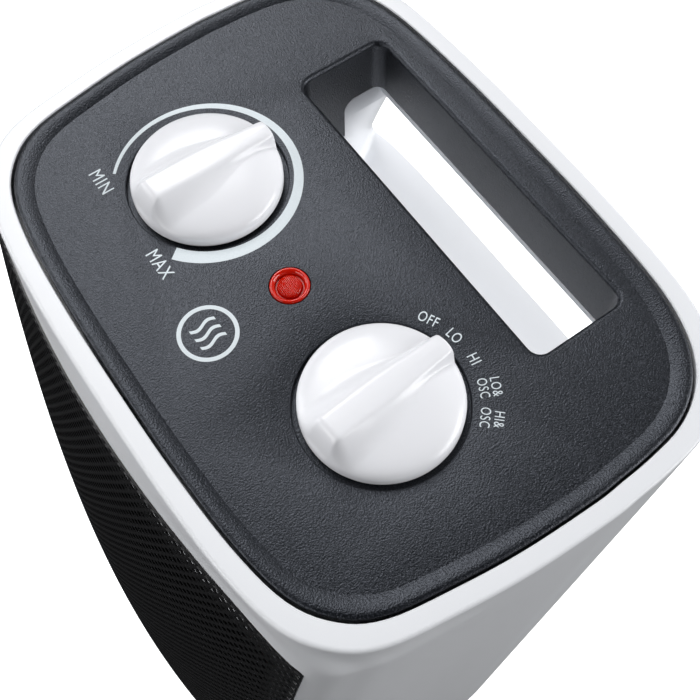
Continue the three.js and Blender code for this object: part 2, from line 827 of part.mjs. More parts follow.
// Round base, turned, with posts for its screws and a hole for the mains lead
function baseHousing() {
  const inner = baseRadius - baseWall;
  const shoulder = footHeight + baseSideHeight;
  const hole = pivotRadius + fit;
  const skin = turned([
    [hole, deckUnder], [deckRadius - baseWall, deckUnder],
    [(deckRadius + inner) / 2 - baseWall / 2, (deckUnder + shoulder) / 2 + baseWall / 2],
    [inner, shoulder], [inner, footHeight], [baseRadius, footHeight], [baseRadius, shoulder],
    [(deckRadius + baseRadius) / 2 + baseWall / 2, (deckLevel + shoulder) / 2 + baseWall / 2],
    [deckRadius, deckLevel], [hole, deckLevel], [hole, deckUnder],
  ]);
  const posts = baseScrewPlaces().map(([x, y]) =>
    rod(screwPostRadius, coverTop + fit, deckLevel - baseWall / 2, x, y));
  const pilots = baseScrewPlaces().map(([x, y]) =>
    rod(screwShankRadius + fit, 0, footHeight + screwLength + fit, x, y, tinySides));
  const lead = rodAlongY(glandRadius + fit, inner - overrun, baseRadius + overrun, 0, glandLevel());
  return cut(joined(skin, ...posts), ...pilots, lead);
}

function glandLevel() {
  return coverTop + fit + glandRadius + fit;
}

function baseScrewPlaces() {
  return [1, 5, 9].map((k) => [
    baseScrewPlaceRadius * Math.cos(k * Math.PI / 6),
    baseScrewPlaceRadius * Math.sin(k * Math.PI / 6),
  ]);
}

function footPlaces() {
  return [1, 3, 5, 7].map((k) => [
    footPlaceRadius * Math.cos(k * Math.PI / 4),
    footPlaceRadius * Math.sin(k * Math.PI / 4),
  ]);
}

function baseCover() {
  const disc = rod(baseRadius - baseWall - fit, footHeight, coverTop, 0, 0, roundSides);
  const heads = baseScrewPlaces().map(([x, y]) =>
    rod(screwHeadRadius + fit, 0, footHeight + fit + screwHeadHeight - coverThickness / 2, x, y));
  const shanks = baseScrewPlaces().map(([x, y]) =>
    rod(screwShankRadius + fit, 0, coverTop + overrun, x, y, tinySides));
  const plunger = rod(plungerRadius + fit, 0, coverTop + overrun, tipSwitchX, tipSwitchY);
  return cut(solid(disc), ...heads, ...shanks, plunger);
}

// A screw standing on its head at the origin, with its shank upwards
function screw() {
  return joined(
    rod(screwHeadRadius, 0, screwHeadHeight),
    rod(screwShankRadius, screwHeadHeight / 2, screwHeadHeight + screwLength - bossWeb, 0, 0, tinySides),
  );
}

// Base pieces
addPiece(base, 'base_housing', geometryOf(baseHousing()), whiteGloss);
addPiece(base, 'base_cover', geometryOf(baseCover()), blackSatin);
footPlaces().forEach(([x, y], i) => {
  addPiece(base, `rubber_foot_${i + 1}`, rod(footRadius, 0, footHeight - fit, x, y), rubberBlack);
});
baseScrewPlaces().forEach(([x, y], i) => {
  const mesh = addPiece(base, `base_screw_${i + 1}`, geometryOf(screw()), steel);
  mesh.position.set(x, y, footHeight + fit - coverThickness / 2);
});

const ballastBox = block(
  -glandRadius - overrun, glandRadius + overrun, 0, baseRadius, coverTop, coverTop + 2 * ballastThickness);
const ballastRadius = baseRadius - baseWall - 2 * fit;
const ballastRing = ring(
  ballastRadius - ballastWidth, ballastRadius, coverTop + fit, coverTop + fit + ballastThickness);
addPiece(base, 'ballast_ring', geometryOf(cut(solid(ballastRing), ballastBox)), darkSteel);

const glandOuterY = baseRadius - glandInset;
const gland = rodAlongY(glandRadius, glandOuterY - glandLength, glandOuterY, 0, glandLevel());
const glandBore = rodAlongY(glandBoreRadius, 0, baseRadius + overrun, 0, glandLevel(), tinySides);
addPiece(base, 'cord_gland', geometryOf(cut(solid(gland), glandBore)), rubberBlack);

const terminalLow = coverTop + fit;
const terminalBody = block(
  -terminalWidth / 2, terminalWidth / 2, terminalY - terminalDepth / 2, terminalY + terminalDepth / 2,
  terminalLow, terminalLow + terminalHeight,
);
const terminalPoles = [-1, 0, 1].map((k) => rod(
  terminalPoleRadius, terminalLow + terminalHeight - terminalPoleDepth,
  terminalLow + terminalHeight + overrun, k * terminalPoleSpacing, terminalY, tinySides,
));
addPiece(base, 'terminal_block', geometryOf(cut(solid(terminalBody), ...terminalPoles)), nylonWhite);

const tipLow = coverTop + fit;
const tipHole = plungerLift + plungerLength + fit;
const tipBody = block(
  tipSwitchX - tipSwitchWidth / 2, tipSwitchX + tipSwitchWidth / 2,
  tipSwitchY - tipSwitchDepth / 2, tipSwitchY + tipSwitchDepth / 2, tipLow, tipLow + tipSwitchHeight,
);
const flangedRadius = plungerRadius + plungerFlangeWidth;
const tipGuide = rod(plungerRadius + fit, 0, tipHole, tipSwitchX, tipSwitchY);
const tipChamber = rod(
  flangedRadius + fit, tipHole - plungerTravel - plungerFlangeThickness - 2 * fit,
  tipHole, tipSwitchX, tipSwitchY,
);
addPiece(base, 'tip_switch_body', geometryOf(cut(solid(tipBody), tipGuide, tipChamber)), resinBrown);

const plungerTop = plungerLift + plungerLength;
addPiece(base, 'tip_plunger', geometryOf(joined(
  rod(plungerRadius, plungerLift, plungerTop, tipSwitchX, tipSwitchY),
  rod(flangedRadius, plungerTop - plungerFlangeThickness, plungerTop, tipSwitchX, tipSwitchY),
)), nylonWhite);

// Swivel pivot
const washerLow = plateTop + fit;
const pivotHigh = washerLow + washerThickness + pivotTip;
const flangeHigh = deckUnder - fit;
const flangeRadius = pivotRadius + pivotFlangeWidth;
const pivotBore = pivotRadius - pivotWall;
addPiece(base, 'pivot_tube', turned([
  [pivotBore, flangeHigh - pivotFlangeThickness], [flangeRadius, flangeHigh - pivotFlangeThickness],
  [flangeRadius, flangeHigh], [pivotRadius, flangeHigh], [pivotRadius, pivotHigh],
  [pivotBore, pivotHigh], [pivotBore, flangeHigh - pivotFlangeThickness],
], ringSides), steel);
addPiece(base, 'glide_ring', ring(
  glideInnerRadius, glideOuterRadius, deckLevel + fit, plateBottom - fit, ringSides), nylonWhite);
addPiece(base, 'retaining_washer', ring(
  pivotRadius + fit, pivotRadius + washerWidth, washerLow, washerLow + washerThickness, ringSides), steel);

// Slotted fork on the base deck, which the crank pin works against
const forkLow = deckLevel + fit;
const forkHalf = crankPinRadius + forkSlack + forkSideWidth;
const slotHalf = crankPinRadius + forkSlack;
const slotNear = crankDistance - crankPinRadius - forkEndSlack;
const slotFar = crankDistance + crankRadius + crankPinRadius + forkEndSlack;
const forkPlate = block(
  -forkHalf, forkHalf, -slotFar - forkEndWidth, -slotNear + forkEndWidth, forkLow, forkLow + forkThickness);
const forkSlot = block(-slotHalf, slotHalf, -slotFar, -slotNear, forkLow - overrun, plateBottom);
addPiece(base, 'drive_fork', geometryOf(cut(solid(forkPlate), forkSlot)), nylonWhite);

// Crank under the tower's bottom plate
const crankHigh = plateBottom - fit;
const crankLow = crankHigh - crankThickness;
const crankPinY = -crankDistance - crankRadius;
addPiece(tower, 'swing_crank', geometryOf(joined(
  rod(crankHubRadius, crankLow, crankHigh, 0, -crankDistance),
  block(-crankPinRadius, crankPinRadius, crankPinY, -crankDistance, crankLow, crankHigh),
  rod(crankPinRadius, crankLow - crankPinLength, crankHigh, 0, crankPinY),
  rod(crankShaftRadius, crankLow, plateTop + fit + crankShaftInsert, 0, -crankDistance),
)), steel);

const swingMotorLow = plateTop + fit;
addPiece(tower, 'swing_motor', geometryOf(cut(
  solid(rod(
    swingMotorRadius, swingMotorLow, swingMotorLow + swingMotorHeight, 0, -crankDistance, ringSides)),
  rod(crankShaftRadius + fit, plateBottom, swingMotorLow + crankShaftInsert + fit, 0, -crankDistance),
)), darkSteel);

addPiece(tower, 'bottom_plate', geometryOf(cut(
  solid(bodySlab(bodyTop - plateTop, bodyTop - plateBottom, bodyWall + fit)),
  rod(pivotRadius + fit, 0, bodyTop, 0, 0, ringSides),
  rod(crankShaftRadius + fit, 0, bodyTop, 0, -crankDistance),
)), blackSatin);

// Casing
addPiece(tower, 'front_housing', geometryOf(frontHousing()), whiteGloss);
addPiece(tower, 'rear_housing', geometryOf(rearHousing()), whiteGloss);
addPiece(tower, 'front_grille', frontGrille(), grilleBlack);
addPiece(tower, 'control_panel', geometryOf(controlPanel()), blackSatin);
bossPlaces.forEach(([x, level], i) => {
  const mesh = addPiece(tower, `casing_screw_${i + 1}`, geometryOf(screw()), steel);
  mesh.position.set(x, screwSeatY + fit + screwHeadHeight, level);
  mesh.rotation.x = Math.PI / 2;
});

// Controls
const thermostatX = -knobSpacing / 2;
const switchX = knobSpacing / 2;
const thermostatGroup = knobGroup(thermostatX, thermostatRest);
addPiece(thermostatGroup, 'thermostat_knob', geometryOf(knob()), whiteGloss);
addPiece(thermostatGroup, 'thermostat_shaft', controlShaft(thermostatHeight), steel);
const functionGroup = knobGroup(switchX, functionRest);
addPiece(functionGroup, 'function_knob', geometryOf(knob()), whiteGloss);
addPiece(functionGroup, 'switch_shaft', controlShaft(switchHeight), steel);
addPiece(tower, 'thermostat_body', geometryOf(
  controlBox(thermostatX, thermostatWidth, thermostatDepth, thermostatHeight)), resinBrown);
addPiece(tower, 'rotary_switch_body', geometryOf(
  controlBox(switchX, switchWidth, switchDepth, switchHeight)), nylonWhite);

const lensTop = fieldLevel + lensProud;
const lensLow = lensTop - lensLength;
addPiece(tower, 'pilot_lens', turned([
  [0, lensLow], [lensRadius, lensLow], [lensRadius, lensTop - lensRound],
  [lensRadius - lensRound, lensTop], [0, lensTop],
], smallSides).translate(0, knobY, 0), signalRed);
const lampTop = lensLow - fit;
const lampBulb = rod(lampRadius, lampTop - lampLength, lampTop, 0, knobY, tinySides);
addPiece(tower, 'neon_lamp', lampBulb, neonOrange);

// Air duct
const railInner = ductHalfWidth + fit;
for (const [name, side] of [['rail_left', -1], ['rail_right', 1]]) {
  const low = Math.min(side * railInner, side * (railInner + railThickness));
  addPiece(tower, name, block(
    low, low + railThickness, railFrontY, railRearY, plateTop + fit, ductTop), steel);
}

const motorBolts = [-motorBoltX, motorBoltX];
const motorTop = ductBottom - motorBossHeight - fit;
const ductPlateAt = (low) => block(
  -ductHalfWidth, ductHalfWidth, ductFrontY, ductRearY, low, low + ductPlateThickness);
addPiece(tower, 'duct_floor', geometryOf(cut(
  joined(ductPlateAt(ductBottom), ...motorBolts.map((x) =>
    rod(motorLegRadius, ductBottom - motorBossHeight, ductFloor - ductPlateThickness / 2, x, fanY))),
  rod(bearingHole, ductBottom - overrun, ductTop, 0, fanY),
  ...motorBolts.map((x) => rod(motorBoltRadius + fit, motorTop, ductBottom, x, fanY, tinySides)),
)), darkSteel);
addPiece(tower, 'duct_ceiling', geometryOf(cut(
  solid(ductPlateAt(ductCeiling)), rod(bearingHole, ductBottom, ductTop + overrun, 0, fanY),
)), darkSteel);
addPiece(tower, 'upper_bearing', ring(
  fanShaftRadius + fit, bearingRadius, ductTop + fit, ductTop + fit + bearingHeight, smallSides,
).translate(0, fanY, 0), copper);

// A bent sheet wall between the duct's plates, from a row of places and a thickness
function ductWall(shares) {
  const places = shares.map(([x, y]) => new THREE.Vector2(
    x * elementHalfWidth,
    y < 0
      ? THREE.MathUtils.lerp(fanY, elementBackY + fit + scrollThickness, -y)
      : THREE.MathUtils.lerp(fanY, ductRearY, y),
  ));
  const curve = new THREE.SplineCurve(places);
  const steps = 3 * (shares.length - 1);
  const middle = curve.getSpacedPoints(steps);
  const sideOf = (sign) => middle.map((p, i) => {
    const tangent = curve.getTangentAt(i / steps);
    return new THREE.Vector2(
      p.x - sign * tangent.y * scrollThickness / 2, p.y + sign * tangent.x * scrollThickness / 2);
  });
  return prism([...sideOf(1), ...sideOf(-1).reverse()], ductFloor + fit, ductCeiling - fit);
}
addPiece(tower, 'duct_scroll', ductWall(scrollShares), darkSteel);
addPiece(tower, 'duct_tongue', ductWall(tongueShares), darkSteel);

// Drum fan on its shaft
function fanDrum() {
  const low = ductFloor + fanEndGap;
  const high = ductCeiling - fanEndGap;
  const inner = fanRadius - fanBladeDepth;
  const pieces = [];
  for (let i = 0; i < fanDiscs; i += 1) {
    const level = THREE.MathUtils.lerp(low, high - fanDiscThickness, i / (fanDiscs - 1));
    const middle = i > 0 && i < fanDiscs - 1;
    pieces.push(ring(
      middle ? inner : fanShaftRadius + fit, fanRadius, level, level + fanDiscThickness, 2 * fanBlades));
  }
  for (let i = 0; i < fanBlades; i += 1) {
    const blade = block(
      -fanBladeDepth / 2, fanBladeDepth / 2, -fanBladeThickness / 2, fanBladeThickness / 2,
      low + fanDiscThickness / 2, high - fanDiscThickness / 2,
    );
    blade.rotateZ(fanBladeTilt).translate(fanRadius - fanBladeDepth / 2 - fanBladeThickness, 0, 0);
    pieces.push(blade.rotateZ(2 * Math.PI * i / fanBlades));
  }
  return geometryOf(joined(...pieces)).translate(0, fanY, 0);
}
addPiece(tower, 'fan_drum', fanDrum(), blackSatin);

// Fan motor: stator, coil and rotor between two bracket plates on long bolts
const upperPlateHigh = motorTop;
const upperPlateLow = upperPlateHigh - motorPlateThickness;
const statorHigh = upperPlateLow - motorLegHeight + fit;
const statorLow = statorHigh - motorStatorHeight;
const lowerPlateHigh = statorLow - motorLegHeight + fit;
const lowerPlateLow = lowerPlateHigh - motorPlateThickness;

function motorBracket(plateLow, legLow, legHigh, bushLow, bushHigh) {
  const plate = block(
    -motorBoltX - motorLegRadius, motorBoltX + motorLegRadius,
    fanY - motorBracketDepth / 2, fanY + motorBracketDepth / 2, plateLow, plateLow + motorPlateThickness,
  );
  const legs = motorBolts.map((x) => rod(motorLegRadius, legLow, legHigh, x, fanY));
  const holes = motorBolts.map((x) =>
    rod(motorBoltRadius + fit, plateBottom, ductTop, x, fanY, tinySides));
  return cut(
    joined(plate, rod(motorBushRadius, bushLow, bushHigh, 0, fanY), ...legs),
    ...holes, rod(fanShaftRadius + fit, plateBottom, ductTop, 0, fanY),
  );
}
addPiece(tower, 'motor_bracket_upper', geometryOf(motorBracket(
  upperPlateLow, statorHigh + fit, upperPlateLow + motorPlateThickness / 2,
  upperPlateLow + motorPlateThickness / 2, upperPlateHigh + motorBushHeight,
)), steel);
addPiece(tower, 'motor_bracket_lower', geometryOf(motorBracket(
  lowerPlateLow, lowerPlateLow + motorPlateThickness / 2, statorLow - fit,
  lowerPlateLow - motorBushHeight, lowerPlateLow + motorPlateThickness / 2,
)), steel);
addPiece(tower, 'motor_stator', geometryOf(cut(
  solid(block(
    -motorStatorWidth / 2, motorStatorWidth / 2,
    fanY - motorStatorDepth / 2, fanY + motorStatorDepth / 2, statorLow, statorHigh,
  )),
  rod(motorBoreRadius, plateBottom, ductTop, 0, fanY, ringSides),
  ...motorBolts.map((x) => rod(motorBoltRadius + fit, plateBottom, ductTop, x, fanY, tinySides)),
)), darkSteel);
const coilMiddle = (statorLow + statorHigh) / 2;
const coilFront = fanY + motorStatorDepth / 2 + fit;
addPiece(tower, 'motor_coil', block(
  -coilWidth / 2, coilWidth / 2, coilFront, coilFront + coilDepth,
  coilMiddle - coilHeight / 2, coilMiddle + coilHeight / 2,
), copper);
addPiece(tower, 'motor_rotor', ring(
  fanShaftRadius + fit, motorBoreRadius - motorAirGap, statorLow, statorHigh, smallSides,
).translate(0, fanY, 0), steel);
addPiece(tower, 'fan_shaft', rod(
  fanShaftRadius, lowerPlateLow - motorBushHeight, ductTop + fit + bearingHeight, 0, fanY), steel);
motorBolts.forEach((x, i) => {
  const headHigh = lowerPlateLow - fit;
  addPiece(tower, `motor_bolt_${i + 1}`, geometryOf(joined(
    rod(motorBoltHeadRadius, headHigh - motorBoltHeadHeight, headHigh, x, fanY),
    rod(motorBoltRadius, headHigh - motorBoltHeadHeight / 2, ductBottom - fit, x, fanY, tinySides),
  )), steel);
});

// Heating element: a resin frame, finned stacks and ceramic bars between them
const elementFrontY = elementBackY - elementDepth;
const openHalf = elementHalfWidth - elementSideBar;
const openLow = ductFloor + elementEndBar;
const openHigh = ductCeiling - elementEndBar;
addPiece(tower, 'element_frame', geometryOf(cut(
  solid(block(
    -elementHalfWidth, elementHalfWidth, elementFrontY, elementBackY, ductFloor + fit, ductCeiling - fit)),
  block(-openHalf, openHalf, elementFrontY - overrun, elementBackY + overrun, openLow, openHigh),
)), resinBrown);
const stackCount = 3;
const stackWidth = (2 * openHalf - (stackCount - 1) * ptcBarWidth - 2 * stackCount * fit) / stackCount;
const stackPitch = stackWidth + ptcBarWidth + 2 * fit;
for (let i = 0; i < stackCount; i += 1) {
  const left = -openHalf + fit + i * stackPitch;
  const place = (u, v, side) => [
    left + u * stackWidth,
    side ? elementFrontY + finInset : elementBackY - finInset,
    THREE.MathUtils.lerp(openHigh - fit, openLow + fit, v),
  ];
  addPiece(tower, `fin_stack_${i + 1}`, perforatedSheet(place, 1, finRows, {
    u: cellCuts(1, stackWidth, finSheet, finSheet),
    v: cellCuts(finRows, openHigh - openLow, finSheet, finSheet),
  }), aluminium);
  if (i < stackCount - 1) {
    const barLeft = left + stackWidth + fit;
    addPiece(tower, `ptc_bar_${i + 1}`, block(
      barLeft, barLeft + ptcBarWidth, elementFrontY + finInset, elementBackY - finInset,
      openLow + fit, openHigh - fit,
    ), ceramicGrey);
  }
}
addPiece(tower, 'thermal_cutout', rodAlongY(
  cutoutRadius, elementBackY + fit, elementBackY + fit + cutoutThickness,
  cutoutX, ductCeiling - cutoutDrop,
), steel);

export default heater;
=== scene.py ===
import math

import bmesh
import bpy
from mathutils import Matrix, Vector


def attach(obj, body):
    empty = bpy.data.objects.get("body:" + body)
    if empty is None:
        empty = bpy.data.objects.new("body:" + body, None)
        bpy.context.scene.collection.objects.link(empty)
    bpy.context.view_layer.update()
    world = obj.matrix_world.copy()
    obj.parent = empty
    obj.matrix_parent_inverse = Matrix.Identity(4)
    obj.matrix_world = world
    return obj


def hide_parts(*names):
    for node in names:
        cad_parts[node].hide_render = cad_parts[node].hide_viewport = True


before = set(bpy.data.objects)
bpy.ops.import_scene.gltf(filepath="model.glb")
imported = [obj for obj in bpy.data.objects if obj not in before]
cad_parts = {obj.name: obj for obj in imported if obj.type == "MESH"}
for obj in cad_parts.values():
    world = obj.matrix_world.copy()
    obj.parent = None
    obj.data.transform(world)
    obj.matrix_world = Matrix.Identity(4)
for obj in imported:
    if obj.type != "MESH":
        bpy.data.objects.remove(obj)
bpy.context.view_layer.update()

# The camera stands close above the front right corner of the heater and looks
# down on the panel. Its place and its right, up and back directions were solved
# from the two knobs and the recesses that they sit in.
camera_place = Vector((0.109576, -0.058804, 0.679791))
camera_right = Vector((0.57732, 0.81650, -0.00487))
camera_up = Vector((-0.73590, 0.52289, 0.43016))
camera_back = Vector((0.35377, -0.24476, 0.90274))
camera_lens = 52.042

bpy.ops.object.select_all(action="DESELECT")
bpy.ops.object.camera_add()
camera = bpy.context.object
camera_turn = Matrix((camera_right, camera_up, camera_back)).transposed().to_4x4()
camera.matrix_world = Matrix.Translation(camera_place) @ camera_turn
camera.data.sensor_width = 36
camera.data.lens = camera_lens
camera.data.clip_start = 0.01
bpy.context.scene.camera = camera
bpy.context.scene.view_settings.view_transform = "Standard"


# The studio is a white floor and a pale sky, which glow evenly behind the heater
# and throw little light on it. Two softboxes high on the left put the sheen on the
# black panel, and the others light the casing's sides and the hand hold.
floor_size = 8.0
floor_white = "F4F5F6"
floor_glow = 1.0
sky_white = "F2F4F6"
sky_strength = 0.03


def colour(code):
    """The linear colour of an sRGB hex code."""
    shares = [int(code[place:place + 2], 16) / 255 for place in (0, 2, 4)]
    linear = [s / 12.92 if s <= 0.04045 else ((s + 0.055) / 1.055) ** 2.4 for s in shares]
    return (*linear, 1)


def feed(node, links):
    """Links a node's sockets to the sockets that feed them."""
    for name, source in links.items():
        node.id_data.links.new(source, node.inputs[name])


def add_node(owner, kind, values=(), links=(), **settings):
    """Adds a node with its settings, its socket values and the sockets that feed it."""
    node = owner.node_tree.nodes.new(kind)
    for name, value in settings.items():
        setattr(node, name, value)
    for name, value in dict(values).items():
        node.inputs[name].default_value = value
    feed(node, dict(links))
    return node


def new_material(name, code, roughness, values=()):
    """A material with one Principled shader, whose own sockets hold the plain values."""
    material = bpy.data.materials.new(name)
    material.use_nodes = True
    shader = material.node_tree.nodes["Principled BSDF"]
    plain = {"Base Color": colour(code), "Roughness": roughness, **dict(values)}
    for socket, value in plain.items():
        shader.inputs[socket].default_value = value
    return material, shader


def put_on(piece, material):
    """Gives a piece its one material."""
    piece.data.materials.clear()
    piece.data.materials.append(material)


def add_softbox(name, place, target, width, height, power):
    """A white rectangular area light that looks from its place to its target."""
    bpy.ops.object.light_add(type="AREA", location=place)
    light = bpy.context.object
    light.name = name
    light.rotation_euler = (Vector(target) - Vector(place)).to_track_quat("-Z", "Y").to_euler()
    light.data.shape = "RECTANGLE"
    light.data.size = width
    light.data.size_y = height
    light.data.energy = power


studio_floor_paint = new_material("studio_floor", floor_white, 0.7, {
    "Emission Color": colour(floor_white), "Emission Strength": floor_glow,
})[0]
bpy.ops.mesh.primitive_plane_add(size=floor_size)
studio_floor = bpy.context.object
studio_floor.name = "studio_floor"
put_on(studio_floor, studio_floor_paint)
studio_floor.visible_diffuse = False
studio_floor.visible_glossy = False
studio_floor.visible_transmission = False

world = bpy.data.worlds.new("studio")
world.use_nodes = True
background = world.node_tree.nodes["Background"]
background.inputs["Color"].default_value = colour(sky_white)
seen_sky = add_node(world, "ShaderNodeLightPath")
sky_share = add_node(world, "ShaderNodeMath", {1: sky_strength},
                     {0: seen_sky.outputs["Is Camera Ray"]}, operation="MAXIMUM")
feed(background, {"Strength": sky_share.outputs["Value"]})
bpy.context.scene.world = world

panel_middle = Vector((0, 0, 0.45))
lamp_reach = 2.0
for name, around_panel, above, width, height, power in (
    ("left_softbox", 165, 45, 1.0, 0.8, 13.1),
    ("high_left_softbox", 180, 55, 2.0, 1.2, 18.5),
    ("rear_right_softbox", 45, 15, 1.6, 1.0, 33.5),
    ("high_rear_softbox", 90, 40, 2.0, 1.2, 4.8),
    ("front_softbox", 270, 15, 1.6, 1.0, 14.7),
    ("front_left_softbox", 225, 15, 1.0, 1.0, 11.5),
    ("low_rear_softbox", 90, -4, 1.6, 0.6, 8),
):
    turn, rise = math.radians(around_panel), math.radians(above)
    way = Vector((
        math.cos(rise) * math.cos(turn), math.cos(rise) * math.sin(turn), math.sin(rise)))
    add_softbox(name, panel_middle + way * lamp_reach, panel_middle, width, height, power)


# The two casing shells are moulded in white ABS and meet at a fine seam on the
# sides. Their upper edges are the white rim round the panel, the walls bow
# forward like a barrel, and the front shell has a seat for the grille.
origin_up = 0.46
body_height = 0.428
half_width_top = 0.0915
side_taper = 0.001
seam_y = 0.024
seam_gap = 0.0002
front_depth = 0.0792
front_bulge = 0.0307
bulge_drop = 0.6 * body_height
rear_depth = 0.0566
rear_taper = 0.005
corner_blend = 0.012
rim_width = 0.0051
rim_round = 0.0010
wall = 0.0025
panel_seat_drop = 0.009
ledge_width = 0.0022
ledge_thickness = 0.003
window_drop = 0.0172
window_arch = 0.0038
window_sill = 0.032
window_share = 0.845
window_corner = 0.0015
seat_width = 0.0075
seat_depth = 0.0001
curve_steps = 5
far = 0.4
casing_white = "EFF1F5"

rim_front_shares = [
    (0, 1), (0.3, 0.9955), (0.557, 0.976), (0.745, 0.932), (0.86, 0.845),
    (0.926, 0.72), (0.963, 0.504), (0.989, 0.27), (1, 0),
]
wall_front_shares = [
    (0, 1), (0.28, 0.9875), (0.56, 0.95), (0.845, 0.886), (0.922, 0.763),
    (0.952, 0.64), (0.975, 0.44), (0.994, 0.2), (1, 0),
]
rear_shares = [
    (1, 0), (0.997, 0.156), (0.991, 0.33), (0.973, 0.53), (0.93, 0.69),
    (0.86, 0.815), (0.76, 0.903), (0.6, 0.964), (0.3, 0.9945), (0, 1),
]


def mix(low, high, share):
    return low + (high - low) * share


def eased(share):
    """Runs smoothly from 0 to 1."""
    share = min(max(share, 0.0), 1.0)
    return share * share * (3 - 2 * share)


def front_reach(drop):
    return front_depth + front_bulge * (1 - ((drop - bulge_drop) / bulge_drop) ** 2)


def rear_reach(drop):
    return rear_depth - rear_taper * drop / body_height


def half_width(drop):
    return half_width_top - side_taper * drop / body_height


def closed_curve(corners, steps):
    """Points on a smooth closed curve through the corners."""
    points = []
    count = len(corners)
    for index in range(count):
        before, start, end, after = [Vector(corners[(index + k) % count]) for k in (-1, 0, 1, 2)]
        leave, arrive = (end - before) / 2, (after - start) / 2
        for step in range(steps):
            t = step / steps
            points.append(
                start * (2 * t**3 - 3 * t**2 + 1) + end * (3 * t**2 - 2 * t**3)
                + leave * (t**3 - 2 * t**2 + t) + arrive * (t**3 - t**2)
            )
    return points


def casing_ring(drop, inset, outline_drop=None):
    """The casing's outline at a drop below the rim, moved in from the skin by inset."""
    at = drop if outline_drop is None else outline_drop
    share = eased(at / corner_blend)
    width, front, rear = half_width(at) - inset, front_reach(at) - inset, rear_reach(at) - inset
    right = [
        (mix(a[0], b[0], share) * width, seam_y - mix(a[1], b[1], share) * front)
        for a, b in zip(rim_front_shares, wall_front_shares)
    ]
    right += [(x * width, seam_y + y * rear) for x, y in rear_shares[1:]]
    left = [(-x, y) for x, y in reversed(right[1:-1])]
    return [(p.x, p.y, origin_up - drop) for p in closed_curve(right + left, curve_steps)]


def extrude_through(name, rings, closed=False):
    """A piece made by extruding one ring of edges through the places of all the rings.

    Its two ends are filled, or joined to each other where closed is true."""
    bpy.ops.mesh.primitive_circle_add(vertices=len(rings[0]))
    piece = bpy.context.object
    piece.name = name
    bpy.ops.object.mode_set(mode="EDIT")
    edit = bmesh.from_edit_mesh(piece.data)
    place = edit.verts.layers.int.new("place")
    for index, vertex in enumerate(edit.verts):
        vertex[place] = index
        vertex.co = rings[0][index]
    if not closed:
        bpy.ops.mesh.edge_face_add()
        bpy.ops.mesh.select_all(action="SELECT")
    for ring in rings[1:] + ([rings[0]] if closed else []):
        bpy.ops.mesh.extrude_region()
        edit = bmesh.from_edit_mesh(piece.data)
        place = edit.verts.layers.int["place"]
        for vertex in edit.verts:
            if vertex.select:
                vertex.co = ring[vertex[place]]
    bpy.ops.mesh.select_all(action="SELECT")
    bpy.ops.mesh.remove_doubles(threshold=1e-7)
    bpy.ops.mesh.normals_make_consistent(inside=False)
    bpy.ops.object.mode_set(mode="OBJECT")
    piece.data.attributes.remove(piece.data.attributes["place"])
    return piece


def apply_modifier(piece, kind, **settings):
    """Adds a modifier with its settings to a piece and applies it."""
    modifier = piece.modifiers.new(kind, kind)
    for name, value in settings.items():
        setattr(modifier, name, value)
    bpy.context.view_layer.objects.active = piece
    bpy.ops.object.modifier_apply(modifier=modifier.name)


def combine(piece, operation, *tools):
    """Joins, cuts or trims a piece with other solids, which are used up."""
    for tool in tools:
        apply_modifier(piece, "BOOLEAN", operation=operation, solver="MANIFOLD", object=tool)
        bpy.data.objects.remove(tool)
    return piece


def copy_of(piece, name):
    """A copy of a piece with its own mesh."""
    other = piece.copy()
    other.data = piece.data.copy()
    other.name = name
    bpy.context.scene.collection.objects.link(other)
    return other


def pick(piece):
    """Selects a piece and nothing else."""
    bpy.ops.object.select_all(action="DESELECT")
    bpy.context.view_layer.objects.active = piece
    piece.select_set(True)


def edit_all(piece):
    """Opens a piece for editing, with all of it selected, and gives its edit mesh."""
    pick(piece)
    bpy.ops.object.mode_set(mode="EDIT")
    bpy.ops.mesh.select_all(action="SELECT")
    return bmesh.from_edit_mesh(piece.data)


def trim(piece, point, outwards, close=True):
    """Cuts off what lies outwards of a plane, and closes the cut of a solid piece."""
    edit_all(piece)
    bpy.ops.mesh.bisect(plane_co=point, plane_no=outwards, use_fill=close, clear_outer=True)
    bpy.ops.object.mode_set(mode="OBJECT")
    return piece


def face_outwards(piece):
    """Turns the faces of a closed piece outwards."""
    edit_all(piece)
    bpy.ops.mesh.normals_make_consistent(inside=False)
    bpy.ops.object.mode_set(mode="OBJECT")
    return piece


def smooth(piece, degrees=35):
    """Shades a piece smooth, with edges sharper than the angle left crisp."""
    pick(piece)
    bpy.ops.object.shade_smooth_by_angle(angle=math.radians(degrees))
    return piece


def block(name, low, high):
    """A box given by two corners, as a start for a cutter or a piece."""
    middle = (Vector(low) + Vector(high)) / 2
    bpy.ops.mesh.primitive_cube_add(size=1, location=middle, scale=Vector(high) - Vector(low))
    bpy.ops.object.transform_apply(location=True, rotation=True, scale=True)
    bpy.context.object.name = name
    return bpy.context.object


def window_top(x):
    """The drop of the window's upper edge, which is a little arched."""
    return window_drop - window_arch * (1 - (x / (window_share * half_width_top)) ** 2)


def window_cutter(inset):
    """A prism with an arched top and eased corners, run along Y through the front wall."""
    low = body_height - window_sill - inset
    top_half = window_share * half_width(window_drop) - inset
    low_half = window_share * half_width(low) - inset
    outline = [(-low_half, origin_up - low), (low_half, origin_up - low)]
    across = [top_half * (1 - k / 10) for k in range(21)]
    outline += [(x, origin_up - window_top(x) - inset) for x in across]
    cutter = extrude_through(
        "window_cutter", [[(x, y, z) for x, z in outline] for y in (-far, 0)])
    for edge in edit_all(cutter).edges:
        run = edge.verts[0].co - edge.verts[1].co
        edge.select_set(abs(run.y) > far / 2 and edge.calc_face_angle() > math.radians(60))
    bpy.ops.mesh.bevel(offset=window_corner, segments=4)
    bpy.ops.object.mode_set(mode="OBJECT")
    return cutter


